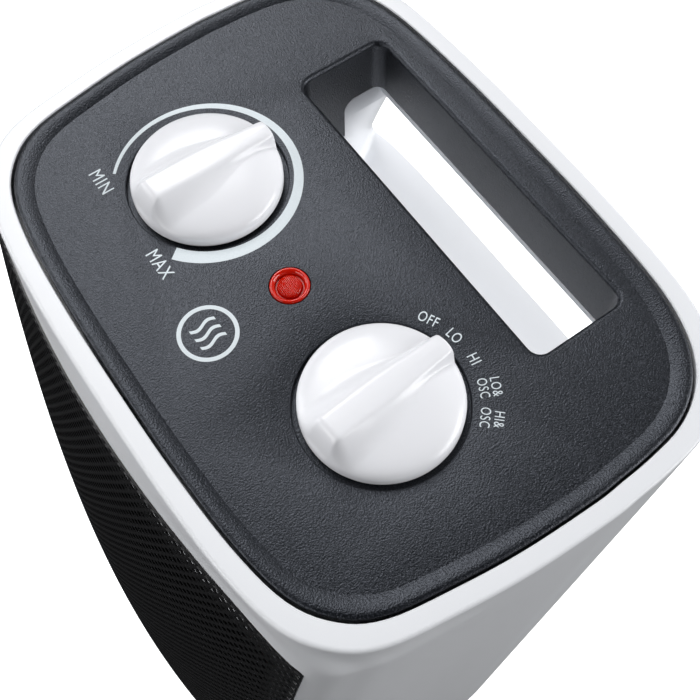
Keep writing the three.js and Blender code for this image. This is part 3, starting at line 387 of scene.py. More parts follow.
wall_drops = [
    body_height, 0.39, 0.35, 0.31, 0.27, 0.23, 0.19, 0.15, 0.12, 0.09, 0.07, 0.05, 0.035,
    0.025, 0.018, 0.014, 0.012, 0.0105, 0.009, 0.0075, 0.006, 0.0045, 0.003, 0.0018,
]
quarter_turn = [math.radians(d) for d in range(0, 91, 15)]
rim_arc = [(rim_round * (1 - math.sin(a)), rim_round * (1 - math.cos(a))) for a in quarter_turn]
inner_round = 0.0003
skin_profile = [(drop, 0) for drop in wall_drops] + rim_arc
shell_profile = skin_profile + [
    (0, rim_width - inner_round), (inner_round, rim_width), (panel_seat_drop, rim_width),
    (panel_seat_drop, rim_width + ledge_width),
    (panel_seat_drop + ledge_thickness, rim_width + ledge_width),
    (panel_seat_drop + ledge_thickness, wall),
] + [(drop, wall) for drop in reversed(wall_drops) if drop > panel_seat_drop + 2 * ledge_thickness]

casing_skin = extrude_through("casing_skin", [casing_ring(*p) for p in skin_profile])
casing_shell = extrude_through(
    "casing_shell", [casing_ring(*p) for p in shell_profile], closed=True)

front_shell = trim(
    copy_of(casing_shell, "front_shell"), (0, seam_y - seam_gap / 2, 0), (0, 1, 0))
seat_profile = [(drop, seat_depth) for drop in wall_drops]
seat_face = extrude_through("seat_face", [casing_ring(*p) for p in seat_profile])
combine(front_shell, "DIFFERENCE", combine(window_cutter(0), "DIFFERENCE", seat_face))
combine(front_shell, "DIFFERENCE", window_cutter(seat_width))
smooth(front_shell)


def grained(material, shader, scale, detail, strength, depth, stretch=(1, 1, 1)):
    """Gives a surface a fine relief of one width, stretched where it was worked."""
    places = add_node(material, "ShaderNodeTexCoord")
    stretched = add_node(material, "ShaderNodeMapping", {"Scale": stretch},
                         {"Vector": places.outputs["Object"]})
    noise = add_node(material, "ShaderNodeTexNoise", {"Scale": scale, "Detail": detail},
                     {"Vector": stretched.outputs["Vector"]})
    bump = add_node(material, "ShaderNodeBump", {"Strength": strength, "Distance": depth},
                    {"Height": noise.outputs["Fac"]})
    feed(shader, {"Normal": bump.outputs["Normal"]})
    return noise


# The white ABS is moulded against a fine satin tool, so it is even in colour,
# with a faint ripple in its gloss that only shows where a light is reflected.
# The ripple is 4 mm wide, and the tool's grain 0.35 mm.
white_abs, abs_shader = new_material("moulded_white_abs", casing_white, 0.34, {"IOR": 1.53})
abs_places = add_node(white_abs, "ShaderNodeTexCoord")
abs_ripple = add_node(white_abs, "ShaderNodeTexNoise", {"Scale": 250, "Detail": 2},
                      {"Vector": abs_places.outputs["Object"]})
abs_gloss = add_node(white_abs, "ShaderNodeMapRange", {"To Min": 0.28, "To Max": 0.40},
                     {"Value": abs_ripple.outputs["Fac"]})
feed(abs_shader, {"Roughness": abs_gloss.outputs["Result"]})
grained(white_abs, abs_shader, 2800, 1, 0.06, 0.00005)

put_on(front_shell, white_abs)
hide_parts("front_housing")
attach(front_shell, "tower")


# The rear shell holds the hand hold: a scoop below the panel's slot, whose floor
# curves down and whose ends flare out to a wide mouth in the back wall. Under it
# are the air intake's slots and four tubes for the screws that join the shells.
slot_half = 0.0511
slot_front = 0.0366
slot_rear = 0.0642
slot_corner = 0.0035
field_drop = 0.0006
field_level = origin_up - field_drop
collar_bottom = field_level - 0.0185
scoop_top = collar_bottom - 0.0003
scoop_shoulder = origin_up - 0.030
scoop_floor = origin_up - 0.072
scoop_grip = origin_up - 0.0216
scoop_wall = 0.0022
scoop_round = 0.004
apron_wall = 0.0012
apron_front = 0.0386
apron_rear = 0.0512
apron_low = field_level - 0.034
apron_round = 0.0045
apron_gap = 0.0002
mouth_half = 0.0683
mouth_corner = origin_up - 0.0646
mouth_lean = 0.33
mouth_rear = 0.0745
flare_front = 0.0515
flare_level = origin_up - 0.0265
flare_shift = 0.325
floor_smile = 0.0042
scoop_upright_share = 0.6
scoop_shares = [(0, 0), (0.1, 0.4), (0.3, 0.7), (0.62, 0.92), (1, 1)]
vent_columns = 2
vent_rows = 8
vent_width = 0.044
vent_height = 0.006
vent_gap = 0.016
vent_round_share = 0.45
vent_rib = 0.012
vent_bottom = 0.122
vent_front = 0.068
boss_x = 0.065
boss_levels = (0.368, 0.066)
boss_radius = 0.0054
boss_web = 0.005
screw_head_bore = 0.0037
screw_shank_bore = 0.0019


def open_curve(corners, steps):
    """Points on a smooth curve from the first corner to the last."""
    first = Vector(corners[0]) * 2 - Vector(corners[1])
    last = Vector(corners[-1]) * 2 - Vector(corners[-2])
    whole = closed_curve([first, *corners, last], steps)
    return whole[steps:steps * len(corners) + 1]


def flared_wall(x, level, grow):
    """How far back the scoop's flared end wall stands, at a place across and at a level."""
    at_mouth = mouth_half - mouth_lean * max(level - mouth_corner, 0)
    run = (abs(x) - grow - slot_half) / (at_mouth - slot_half)
    return mix(flare_front, mouth_rear, run) - flare_shift * grow


def scoop_ring(x, grow, reach, flared):
    """The scoop's outline seen from the side, at a place across. Its floor rises to the sides."""
    front, back = slot_front - grow, seam_y + rear_depth
    rise = floor_smile * (x / mouth_half) ** 2
    floor = [(p.x, p.y + rise) for p in open_curve([
        (mix(front, back, run), mix(scoop_shoulder, scoop_floor, fall) - grow * run)
        for run, fall in scoop_shares
    ], 5)]
    if not flared:
        upright_foot = mix(scoop_top, scoop_shoulder, scoop_upright_share)
        points = [(front, scoop_top), (front, upright_foot)] + floor
        grip, inner = scoop_grip + grow, slot_rear + grow
        points += [(reach, floor[-1][1]), (reach, grip), (inner, grip), (inner, scoop_top)]
        return [(x, y, z) for y, z in points]
    top = flare_level + grow
    foot = flared_wall(x, scoop_floor + 2 * scoop_round, grow) + scoop_round
    under = next((z for y, z in floor if y >= foot), floor[-1][1]) + scoop_round
    behind = [place for place in floor if place[0] >= foot]
    steps = len(floor) - len(behind)
    points = [(flared_wall(x, level, grow), level) for level in (top, top - scoop_wall)]
    for k in range(steps):
        share = 2 * (k + 1) / (steps + 1)
        level = mix(top - scoop_wall, under, min(share, 1))
        turn = math.radians(90) * max(share - 1, 0)
        wall_y = flared_wall(x, level, grow)
        points.append((
            mix(wall_y, foot, 1 - math.cos(turn)), level - scoop_round * math.sin(turn)))
    points += behind
    points += [(reach, floor[-1][1]), (reach, top)]
    points += [(mix(points[0][0], reach, share), top) for share in (0.5, 0.25)]
    return [(x, y, z) for y, z in points]


def scoop_solid(grow, reach):
    """The scoop as a solid run along X: straight below the slot, then flared to both sides."""
    half, wide = slot_half + grow, mouth_half + grow
    flares = [mix(half, wide, k / 8) for k in range(9)]
    rings = [scoop_ring(-x, grow, reach, True) for x in reversed(flares)]
    rings += [scoop_ring(half * k / 6, grow, reach, False) for k in range(-6, 7)]
    rings += [scoop_ring(x, grow, reach, True) for x in flares]
    return extrude_through("scoop_solid", rings)


def apron(side, grow):
    """The thin part of the panel's collar that hangs down at an end of the slot."""
    top = collar_bottom + apron_wall
    centre = (apron_rear + apron_round, collar_bottom - apron_round)
    radius = apron_round - grow
    outline = [(apron_front - grow, top), (apron_front - grow, apron_low - grow)]
    outline += [(centre[0] - radius, apron_low - grow)] + [
        (centre[0] - radius * math.cos(a), centre[1] + radius * math.sin(a))
        for a in quarter_turn
    ]
    outline.append((centre[0], top))
    inner = slot_half - (scoop_wall if grow else 0)
    return extrude_through("apron", [
        [(side * x, y, z) for y, z in outline] for x in (inner, slot_half + apron_wall + grow)])


def rod_along_y(name, radius, low, high, x, z, sides=32):
    """A round bar or bore along Y."""
    bpy.ops.mesh.primitive_cylinder_add(
        vertices=sides, radius=radius, depth=high - low, location=(x, (low + high) / 2, z),
        rotation=(math.pi / 2, 0, 0))
    bpy.ops.object.transform_apply(location=True, rotation=True, scale=True)
    bpy.context.object.name = name
    return bpy.context.object


rear_shell = trim(
    copy_of(casing_shell, "rear_shell"), (0, seam_y + seam_gap / 2, 0), (0, -1, 0))
rear_skin = trim(copy_of(casing_skin, "rear_skin"), (0, seam_y + seam_gap / 2, 0), (0, -1, 0))
scoop_liner = combine(
    scoop_solid(scoop_wall, far), "INTERSECT", copy_of(rear_skin, "rear_skin_for_liner"))
combine(rear_shell, "UNION", scoop_liner)
boss_places = [(side * boss_x, level) for level in boss_levels for side in (-1, 1)]
for x, level in boss_places:
    tube = rod_along_y("screw_tube", boss_radius, seam_y + seam_gap / 2, far, x, level)
    combine(tube, "INTERSECT", copy_of(rear_skin, "rear_skin_for_tube"))
    combine(rear_shell, "UNION", tube)
combine(rear_shell, "DIFFERENCE", scoop_solid(0, far))
for side in (-1, 1):
    combine(rear_shell, "DIFFERENCE", apron(side, apron_gap))
for x, level in boss_places:
    head_bore = rod_along_y("head_bore", screw_head_bore, seam_y + boss_web, far, x, level)
    shank_bore = rod_along_y("shank_bore", screw_shank_bore, 0, far, x, level, 16)
    combine(rear_shell, "DIFFERENCE", head_bore, shank_bore)
for column in range(vent_columns):
    left = (column - vent_columns / 2) * (vent_width + vent_rib) + vent_rib / 2
    for row in range(vent_rows):
        low = vent_bottom + row * (vent_height + vent_gap)
        vent = block("vent", (left, vent_front, low), (left + vent_width, far, low + vent_height))
        for edge in edit_all(vent).edges:
            edge.select_set(abs(edge.verts[0].co.y - edge.verts[1].co.y) > vent_width)
        bpy.ops.mesh.bevel(offset=vent_height * vent_round_share, segments=5)
        bpy.ops.object.mode_set(mode="OBJECT")
        combine(rear_shell, "DIFFERENCE", vent)
smooth(rear_shell)
put_on(rear_shell, white_abs)
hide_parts("rear_housing")
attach(rear_shell, "tower")
for helper in (casing_shell, rear_skin, casing_skin):
    bpy.data.objects.remove(helper)


# The front grille is perforated steel with round holes in staggered rows, rolled
# to the casing's bowed front, edged by a narrow hem and powder coated black. It
# is drawn as an upper and a lower sheet, and each hole with six sides.
grille_proud = 0.0005
grille_sheet = 0.00045
hole_pitch = 0.00297
hole_radius = 0.00118
first_row_share = 0.45
same_place = 1e-6
hem_width = 0.0005
hem_step = 0.0001
grille_gap = 0.0003
crown_share = 0.16
grille_black = "161618"
grille_top = window_drop + grille_gap
grille_low = body_height - window_sill - grille_gap


def grille_place(x, drop, proud):
    """The bowed place of a point of the flat sheet, whose rows follow the window's arched top."""
    below = (drop - grille_top) / (grille_low - grille_top)
    drop -= (window_drop - window_top(x)) * (1 - min(max(below, 0), 1))
    crown = 1 - crown_share * (x / half_width(drop)) ** 2
    return (x, seam_y - (front_reach(drop) + proud) * crown, origin_up - drop)


def grille_half(drop):
    return window_share * half_width(drop) - grille_gap


row_pitch = hole_pitch * math.sqrt(3) / 2
hole_rows = math.ceil((grille_low - grille_top) / row_pitch)
hole_columns = math.ceil(2 * grille_half(grille_top) / hole_pitch) + 1
cell_radius = hole_pitch / math.sqrt(3)

bpy.ops.mesh.primitive_circle_add(vertices=6, radius=cell_radius, fill_type="NGON")
grille = bpy.context.object
grille.name = "perforated_grille"
edit_all(grille)
bpy.ops.mesh.inset(thickness=cell_radius - hole_radius)
edit = bmesh.from_edit_mesh(grille.data)
for vertex in edit.verts:
    if vertex.select:
        vertex.co = vertex.co.normalized() * hole_radius
bpy.ops.mesh.delete(type="FACE")
bpy.ops.object.mode_set(mode="OBJECT")
for count, step in (
    (hole_columns, (hole_pitch, 0, 0)), (2, (hole_pitch / 2, row_pitch, 0)),
    (math.ceil(hole_rows / 2), (0, 2 * row_pitch, 0)),
):
    apply_modifier(
        grille, "ARRAY", count=count, use_relative_offset=False, use_constant_offset=True,
        constant_offset_displace=step, use_merge_vertices=True, merge_threshold=same_place)
for vertex in grille.data.vertices:
    vertex.co.x -= hole_pitch * (hole_columns - 0.5) / 2
    vertex.co.y += grille_top + hole_pitch * first_row_share
edit_all(grille)
bpy.ops.mesh.remove_doubles(threshold=same_place)
bpy.ops.object.mode_set(mode="OBJECT")
edge_inset = hem_width / 2
slope = (grille_half(grille_top) - grille_half(grille_low)) / (grille_low - grille_top)
for point, outwards in (
    ((0, grille_top + edge_inset, 0), (0, -1, 0)),
    ((0, grille_low - edge_inset, 0), (0, 1, 0)),
    ((grille_half(grille_top) - edge_inset, grille_top, 0), (1, slope, 0)),
    ((-grille_half(grille_top) + edge_inset, grille_top, 0), (-1, slope, 0)),
):
    trim(grille, point, outwards, close=False)
grille_middle = (0, (grille_top + grille_low) / 2, 0)
grille_sheets = []
for name, way in (("grille_sheet_upper", 1), ("grille_sheet_lower", -1)):
    sheet = trim(copy_of(grille, name), grille_middle, (0, way, 0), close=False)
    for vertex in sheet.data.vertices:
        vertex.co = grille_place(vertex.co.x, vertex.co.y, grille_proud)
    apply_modifier(sheet, "SOLIDIFY", thickness=grille_sheet, offset=-1)
    grille_sheets.append(smooth(face_outwards(sheet), 30))
bpy.data.objects.remove(grille)

hem_steps = 40


def hem_path(inset, proud):
    """The hem's line round the sheet, as places on the bowed front."""
    top, low = grille_top + inset, grille_low - inset
    corners = [(-1, top), (1, top), (1, low), (-1, low)]
    points = []
    for index, (side, drop) in enumerate(corners):
        next_side, next_drop = corners[(index + 1) % 4]
        for step in range(hem_steps):
            at = mix(drop, next_drop, step / hem_steps)
            across = mix(side, next_side, step / hem_steps) * (grille_half(at) - inset)
            points.append(grille_place(across, at, proud))
    return points


hem_profile = [
    (0, grille_proud - grille_sheet), (0, grille_proud), (hem_step, grille_proud),
    (hem_width - hem_step, grille_proud), (hem_width, grille_proud),
    (hem_width, grille_proud - grille_sheet),
]
grille_hem = extrude_through("grille_hem", [hem_path(*p) for p in hem_profile], closed=True)
smooth(grille_hem, 50)

# Powder coated steel: a black satin skin with a fine orange peel of 0.5 mm.
powder_black, powder_shader = new_material(
    "powder_coated_steel", grille_black, 0.38, {"IOR": 1.5})
powder_peel = grained(powder_black, powder_shader, 2000, 2, 0.12, 0.00005)
powder_gloss = add_node(powder_black, "ShaderNodeMapRange", {"To Min": 0.30, "To Max": 0.46},
                        {"Value": powder_peel.outputs["Fac"]})
feed(powder_shader, {"Roughness": powder_gloss.outputs["Result"]})
for piece in (*grille_sheets, grille_hem):
    put_on(piece, powder_black)
    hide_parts("front_grille")
    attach(piece, "tower")


# The control panel is a black ABS moulding with a spark-eroded grain. It has a
# rounded bead all round its flat field, a recess for each knob, and a deep collar
# round the hand slot, and its skirt drops into the white rim.
panel_gap = 0.0007
bead_width = 0.0045
bead_height = 0.0010
bead_edge = 0.35
bead_crest = 0.24
bead_power = 1.65
panel_skirt = 0.0022
panel_thickness = 0.0025
panel_hang = panel_seat_drop - 0.0003
collar_wall = 0.002
lip = 0.0014
rear_corner = 0.0036
knob_x = 0.03875
knob_y = -0.001
recess_radius = 0.0213
recess_depth = 0.0015
recess_lip = 0.0005
recess_boss = 0.003
shaft_bore = 0.0036
lens_bore = 0.0054
cut_past = 0.004
panel_black = "14171C"


def panel_ring(drop, inset):
    """The panel keeps the rim's outline at every level."""
    return casing_ring(drop, inset, outline_drop=0)


outer = rim_width + panel_gap
hollow = outer + panel_skirt
panel_profile = [(field_drop + panel_thickness, hollow), (panel_hang, hollow), (panel_hang, outer)]
for angle in quarter_turn:
    rise = mix(bead_edge, 1, math.sin(angle))
    across = bead_crest * (1 - math.cos(angle))
    panel_profile.append((field_drop - bead_height * rise, outer + bead_width * across))
for step in range(1, 13):
    rise = 1 - (step / 12) ** bead_power
    across = mix(bead_crest, 1, step / 12)
    panel_profile.append((field_drop - bead_height * rise, outer + bead_width * across))
control_panel = extrude_through("panel_moulding", [panel_ring(*p) for p in panel_profile])


def rounded_slot(grow, level):
    """A ring round the hand slot, moved out from its walls by grow."""
    points = []
    for across, back, start, corner in (
        (1, slot_front, -90, slot_corner), (1, slot_rear, 0, rear_corner),
        (-1, slot_rear, 90, rear_corner), (-1, slot_front, 180, slot_corner),
    ):
        radius = corner + grow
        centre_x = across * (slot_half - corner)
        centre_y = back + math.copysign(corner, slot_rear + slot_front - 2 * back)
        for step in range(9):
            angle = math.radians(start + 90 * step / 8)
            points.append((
                centre_x + radius * math.cos(angle), centre_y + radius * math.sin(angle),
                level))
    return points


def turned(name, profile, place, steps=96, closed=False):
    """A solid spun about an upright axis at a place, from a profile of radii and levels."""
    rings = [[
        (place[0] + radius * math.cos(2 * math.pi * k / steps),
         place[1] + radius * math.sin(2 * math.pi * k / steps), level)
        for k in range(steps)
    ] for radius, level in profile]
    return extrude_through(name, rings, closed)


inside_panel = field_level - panel_thickness / 2
recess_wall = recess_radius + panel_thickness
collar = extrude_through("collar", [
    rounded_slot(collar_wall, level) for level in (collar_bottom, inside_panel)])
bosses = [turned("boss", [
    (recess_wall, field_level - panel_thickness - recess_boss), (recess_wall, inside_panel),
], (side * knob_x, knob_y)) for side in (-1, 1)]
combine(control_panel, "UNION", collar, apron(-1, 0), apron(1, 0), *bosses)
lip_arc = [
    (lip * (1 - math.cos(a)), field_level - lip * (1 - math.sin(a))) for a in quarter_turn]
over_panel = origin_up + cut_past
slot_rings = [(0, collar_bottom - cut_past)] + lip_arc + [(lip, over_panel)]
slot_cut = extrude_through("slot_cut", [rounded_slot(*p) for p in slot_rings])
combine(control_panel, "DIFFERENCE", slot_cut)
recess_arc = [
    (recess_radius + recess_lip * (1 - math.cos(a)), field_level - recess_lip * (1 - math.sin(a)))
    for a in [math.radians(d) for d in (0, 30, 60, 90)]
]
for side in (-1, 1):
    at = (side * knob_x, knob_y)
    recess = turned("recess", [
        (recess_radius, field_level - recess_depth), *recess_arc,
        (recess_radius + recess_lip, over_panel)], at, 128)
    bore = turned("bore", [(shaft_bore, collar_bottom), (shaft_bore, over_panel)], at, 32)
    combine(control_panel, "DIFFERENCE", recess, bore)
combine(control_panel, "DIFFERENCE", turned(
    "lens_bore", [(lens_bore, collar_bottom), (lens_bore, over_panel)], (0, knob_y), 64))
smooth(control_panel, 20)

# Black ABS with a spark-eroded grain: pits and grains of about 0.4 mm that break
# the reflected light into specks. The raised grains are greyer and less glossy.
black_abs, panel_shader = new_material("spark_grained_black_abs", panel_black, 0.4, {
    "IOR": 1.52, "Specular Tint": colour("E3EAF8"),
})
panel_places = add_node(black_abs, "ShaderNodeTexCoord")
panel_grains = add_node(
    black_abs, "ShaderNodeTexNoise", {"Scale": 2500, "Detail": 3, "Roughness": 0.6},
    {"Vector": panel_places.outputs["Object"]})
panel_cells = add_node(black_abs, "ShaderNodeTexVoronoi", {"Scale": 2300},
                       {"Vector": panel_places.outputs["Object"]})
panel_relief = add_node(
    black_abs, "ShaderNodeMath", {1: 0.6},
    {0: panel_cells.outputs["Distance"], 2: panel_grains.outputs["Fac"]},
    operation="MULTIPLY_ADD")
panel_bump = add_node(black_abs, "ShaderNodeBump", {"Strength": 0.9, "Distance": 0.00012},
                      {"Height": panel_relief.outputs["Value"]})
panel_specks = add_node(black_abs, "ShaderNodeValToRGB", (), {"Fac": panel_grains.outputs["Fac"]})
for element, position, code in zip(
        panel_specks.color_ramp.elements, (0.5, 0.66), ("0B0D11", "32343A")):
    element.position = position
    element.color = colour(code)
panel_gloss = add_node(black_abs, "ShaderNodeMapRange", {"To Min": 0.22, "To Max": 0.38},
                       {"Value": panel_grains.outputs["Fac"]})
feed(panel_shader, {
    "Base Color": panel_specks.outputs["Color"], "Roughness": panel_gloss.outputs["Result"],
    "Normal": panel_bump.outputs["Normal"]})

put_on(control_panel, black_abs)
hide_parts("control_panel")
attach(control_panel, "tower")


# Each knob is moulded in white ABS: a shallow dome with an upright rim,
# and across it a bar whose crest falls towards the back, where its end stands
# over the dome's edge as the pointer. Its hollow flanks are broad at the front.
knob_radius = 0.020
knob_rim = 0.003
knob_dome = 0.0082
crest_front = 0.0117
crest_fall = 0.0028
knob_floor = 0.0005
dome_power = 2.3
bar_front_half = 0.0035
bar_rear_half = 0.0032
bar_front_end = 0.0152
bar_front_lean = 0.0042
lean_power = 1.7
flank_front = 0.0062
flank_rear = 0.0013
flank_power = 2.1
flank_start = 0.3
flank_run = 0.95
front_bow = 0.02
crest_round = 0.0006
pointer_round = 0.0006
knob_grid = 168
knob_bore = 0.0033
knob_bore_top = 0.0063
recess_level = field_level - recess_depth
thermostat_angle = math.radians(2)
function_angle = math.radians(5)
knob_white = "F1F2F7"
knob_underside = [
    (knob_radius, knob_rim * 0.6), (knob_radius, knob_floor + 0.0008),
    (knob_radius * 0.985, knob_floor + 0.0002), (knob_radius * 0.9456, knob_floor),
    (knob_bore, knob_floor), (knob_bore, knob_bore_top),
]


def rounded_step(value, radius):
    """Zero below zero and the value above it, with a rounded turn between."""
    return (value + math.sqrt(value * value + radius * radius)) / 2


def knob_level(x, y):
    """The height of the knob's upper skin over the recess floor."""
    reach = min(math.hypot(x, y) / knob_radius, 1.0)
    dome = knob_rim + (knob_dome - knob_rim) * (1 - reach**dome_power) ** (1 / dome_power)
    along = min(max((y + knob_radius) / (2 * knob_radius), 0), 1)
    half = mix(bar_front_half, bar_rear_half, along)
    flank = mix(flank_front, flank_rear, eased((y / knob_radius + flank_start) / flank_run))
    beside = min(rounded_step(abs(x) - half, crest_round) / flank, 1)
    side_share = (1 - beside) ** flank_power
    front = rounded_step(-y - bar_front_end + front_bow * x * x / knob_radius, crest_round)
    end_share = 1 - min(front / bar_front_lean, 1) ** lean_power
    crest = crest_front - crest_fall * (y + bar_front_end) / (knob_radius + bar_front_end)
    over_edge = min(max(math.hypot(x, y) - knob_radius + pointer_round, 0) / pointer_round, 1)
    crest -= pointer_round * (1 - math.sqrt(1 - over_edge**2))
    return dome + max(crest - dome, 0) * side_share * end_share


def knob(name, x, angle):
    """A knob on its own axis, turned to its rest angle and put in its recess."""
    bpy.ops.mesh.primitive_grid_add(x_subdivisions=knob_grid, y_subdivisions=knob_grid, size=2)
    piece = bpy.context.object
    piece.name = name
    edit_all(piece)
    bpy.ops.mesh.select_all(action="DESELECT")
    edit = bmesh.from_edit_mesh(piece.data)
    for edge in edit.edges:
        edge.select_set(edge.is_boundary)
    for vertex in edit.verts:
        u, v = vertex.co.x, vertex.co.y
        disc = Vector((u * math.sqrt(1 - v * v / 2), v * math.sqrt(1 - u * u / 2))) * knob_radius
        vertex.co = (*disc, knob_level(*disc))
    for radius, level in knob_underside:
        bpy.ops.mesh.extrude_region()
        edit = bmesh.from_edit_mesh(piece.data)
        for vertex in edit.verts:
            if vertex.select:
                wide = radius / math.hypot(vertex.co.x, vertex.co.y)
                vertex.co = (vertex.co.x * wide, vertex.co.y * wide, level)
    bpy.ops.mesh.edge_face_add()
    bpy.ops.mesh.select_all(action="SELECT")
    bpy.ops.mesh.normals_make_consistent(inside=False)
    bpy.ops.object.mode_set(mode="OBJECT")
    piece.data.transform(
        Matrix.Translation((x, knob_y, recess_level)) @ Matrix.Rotation(angle, 4, "Z"))
    return smooth(piece, 40)


# The polished skin has a barely seen waviness, 3 mm wide, from the mould.
glossy_abs, knob_shader = new_material("polished_white_abs", knob_white, 0.24, {
    "IOR": 1.5, "Subsurface Weight": 0.2, "Subsurface Radius": (0.002, 0.002, 0.002),
})
grained(glossy_abs, knob_shader, 330, 1, 0.04, 0.0001)

for name, x, angle, node, body in (
    ("thermostat_knob_moulding", -knob_x, thermostat_angle, "thermostat_knob", "thermostat_dial"),
    ("function_knob_moulding", knob_x, function_angle, "function_knob", "function_dial"),
):
    piece = knob(name, x, angle)
    put_on(piece, glossy_abs)
    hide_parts(node)
    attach(piece, body)


# The pilot lens is a clear red acrylic button: a bright outer ring, a groove and
# a slightly domed middle with fine reeding, over a small neon lamp.
lens_radius = 0.0051
lens_low = field_level - 0.0084
lens_profile = [
    (0.0030, lens_low), (lens_radius, lens_low), (lens_radius, field_level),
    (0.0050, field_level + 0.0003), (0.0047, field_level + 0.0005), (0.0043, field_level + 0.0004),
    (0.0038, field_level - 0.0004), (0.0036, field_level - 0.0011), (0.0033, field_level - 0.0011),
    (0.0031, field_level - 0.0003), (0.0027, field_level), (0.0016, field_level + 0.0002),
    (0.0006, field_level + 0.00025),
]
lens_red = "E8200A"
reed_pitch = 0.00042
reeded_radius = 0.0028

pilot_lens = smooth(turned("pilot_lens_button", lens_profile, (0, knob_y), 64), 50)
red_acrylic, lens_shader = new_material("clear_red_acrylic", lens_red, 0.05, {
    "IOR": 1.49, "Transmission Weight": 0.3,
})
lens_places = add_node(red_acrylic, "ShaderNodeTexCoord")
lens_turn = add_node(red_acrylic, "ShaderNodeMapping", {"Rotation": (0, 0, math.radians(90))},
                     {"Vector": lens_places.outputs["Object"]})
lens_reeds = add_node(red_acrylic, "ShaderNodeTexWave",
                      {"Scale": math.pi / (10 * reed_pitch), "Distortion": 0},
                      {"Vector": lens_turn.outputs["Vector"]})
lens_reach = add_node(red_acrylic, "ShaderNodeVectorMath", {1: (0, knob_y, field_level)},
                      {0: lens_places.outputs["Object"]}, operation="DISTANCE")
lens_middle = add_node(red_acrylic, "ShaderNodeMath", {1: reeded_radius},
                       {0: lens_reach.outputs["Value"]}, operation="LESS_THAN")
lens_ribs = add_node(
    red_acrylic, "ShaderNodeMath", (),
    {0: lens_reeds.outputs["Fac"], 1: lens_middle.outputs["Value"]}, operation="MULTIPLY")
lens_bump = add_node(red_acrylic, "ShaderNodeBump", {"Strength": 0.8, "Distance": 0.0002},
                     {"Height": lens_ribs.outputs["Value"]})
feed(lens_shader, {"Normal": lens_bump.outputs["Normal"]})
put_on(pilot_lens, red_acrylic)
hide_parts("pilot_lens")
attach(pilot_lens, "tower")


# The dial marks are printed on the panel in one white ink: an arc that widens
# from its low end to its high end, the words at the settings, and a plain sign
# of three heat waves in a ring.
print_lift = 0.00003
print_depth = 0.00002
arc_outer = 0.0252
arc_start = math.radians(-140)
arc_end = math.radians(143)
arc_thin = 0.0008
arc_wide = 0.0036
big_letter = 0.0037
small_letter = 0.0029
cap_share = 0.72
letter_gap = 1.12
small_stretch = 0.72
stacked_share = 0.86
print_white = "E6EEF2"
print_level = field_level + print_lift


def printed_word(word, height, stretch, centre, angle):
    """A word as a thin mesh, its middle at a place of the panel, turned by an angle."""
    bpy.ops.object.text_add()
    piece = bpy.context.object
    piece.data.body = word
    piece.data.size = height / cap_share
    piece.data.align_x = "CENTER"
    piece.data.align_y = "CENTER"
    piece.data.space_character = letter_gap
    piece.data.extrude = print_depth
    bpy.ops.object.convert(target="MESH")
    piece = bpy.context.object
    piece.data.transform(
        Matrix.Translation((*centre, print_level)) @ Matrix.Rotation(angle, 4, "Z")
        @ Matrix.Diagonal((stretch, 1, 1, 1)))
    return piece


def printed_band(path, steps):
    """A thin strip whose two edges are given by a path of pairs of points."""
    bpy.ops.mesh.primitive_grid_add(x_subdivisions=steps, y_subdivisions=1, size=2)
    piece = bpy.context.object
    for vertex in piece.data.vertices:
        near, across = path((vertex.co.x + 1) / 2)
        vertex.co = (*(near if vertex.co.y < 0 else across), print_level - print_depth)
    apply_modifier(piece, "SOLIDIFY", thickness=2 * print_depth)
    return piece


def joined(name, pieces):
    """Several thin meshes as one printed piece."""
    pick(pieces[0])
    for piece in pieces:
        piece.select_set(True)
    bpy.ops.object.join()
    pieces[0].name = name
    return pieces[0]


def around(centre, radius, clockwise):
    """A point on a circle, at an angle clockwise from the back."""
    return (centre[0] + radius * math.sin(clockwise), centre[1] + radius * math.cos(clockwise))


thermostat_centre = (-knob_x, knob_y)
function_centre = (knob_x, knob_y)


def arc_path(share):
    """The thermostat's arc, which widens on its inner side."""
    angle = mix(arc_start, arc_end, share)
    inner = arc_outer - mix(arc_thin, arc_wide, share)
    return around(thermostat_centre, arc_outer, angle), around(thermostat_centre, inner, angle)


thermostat_marks = joined("thermostat_marks", [
    printed_band(arc_path, 120),
    printed_word("MIN", big_letter, 0.84, (-0.0545, -0.0242), 0),
    printed_word("MAX", big_letter, 0.78, (-0.0241, -0.0244), 0),
])
function_words = [
    ("OFF", -26.7, 0.0250, 1), ("LO", -9.2, 0.0250, 1), ("HI", 8.3, 0.0250, 1),
    ("LO&", 26.5, 0.0275, stacked_share), ("OSC", 26.5, 0.0244, stacked_share),
    ("HI&", 44.0, 0.0277, stacked_share), ("OSC", 44.0, 0.0244, stacked_share),
]
function_marks = joined("function_marks", [
    printed_word(word, small_letter * share, small_stretch,
                 around(function_centre, reach, math.radians(degrees)), -math.radians(degrees))
    for word, degrees, reach, share in function_words
])

sign_centre = (-0.0005, -0.0246)
sign_radius = 0.0077
sign_line = 0.0011
wave_line = 0.00045
wave_reach = 0.0036
wave_sway = 0.0006
wave_gap = 0.0026


def sign_path(share):
    """The sign's ring."""
    angle = 2 * math.pi * share
    inner = sign_radius - sign_line
    return around(sign_centre, sign_radius, angle), around(sign_centre, inner, angle)


def wave_path(offset):
    """One upright heat wave of the sign."""
    def path(share):
        y = mix(-wave_reach, wave_reach, share)
        x = offset + wave_sway * math.sin(share * 2 * math.pi)
        middle = Vector((sign_centre[0] + x, sign_centre[1] + y))
        side = Vector((wave_line, 0))
        return tuple(middle - side), tuple(middle + side)
    return path


panel_sign = joined("panel_sign", [
    printed_band(sign_path, 96),
    *[printed_band(wave_path(x), 32) for x in (-wave_gap, 0, wave_gap)],
])

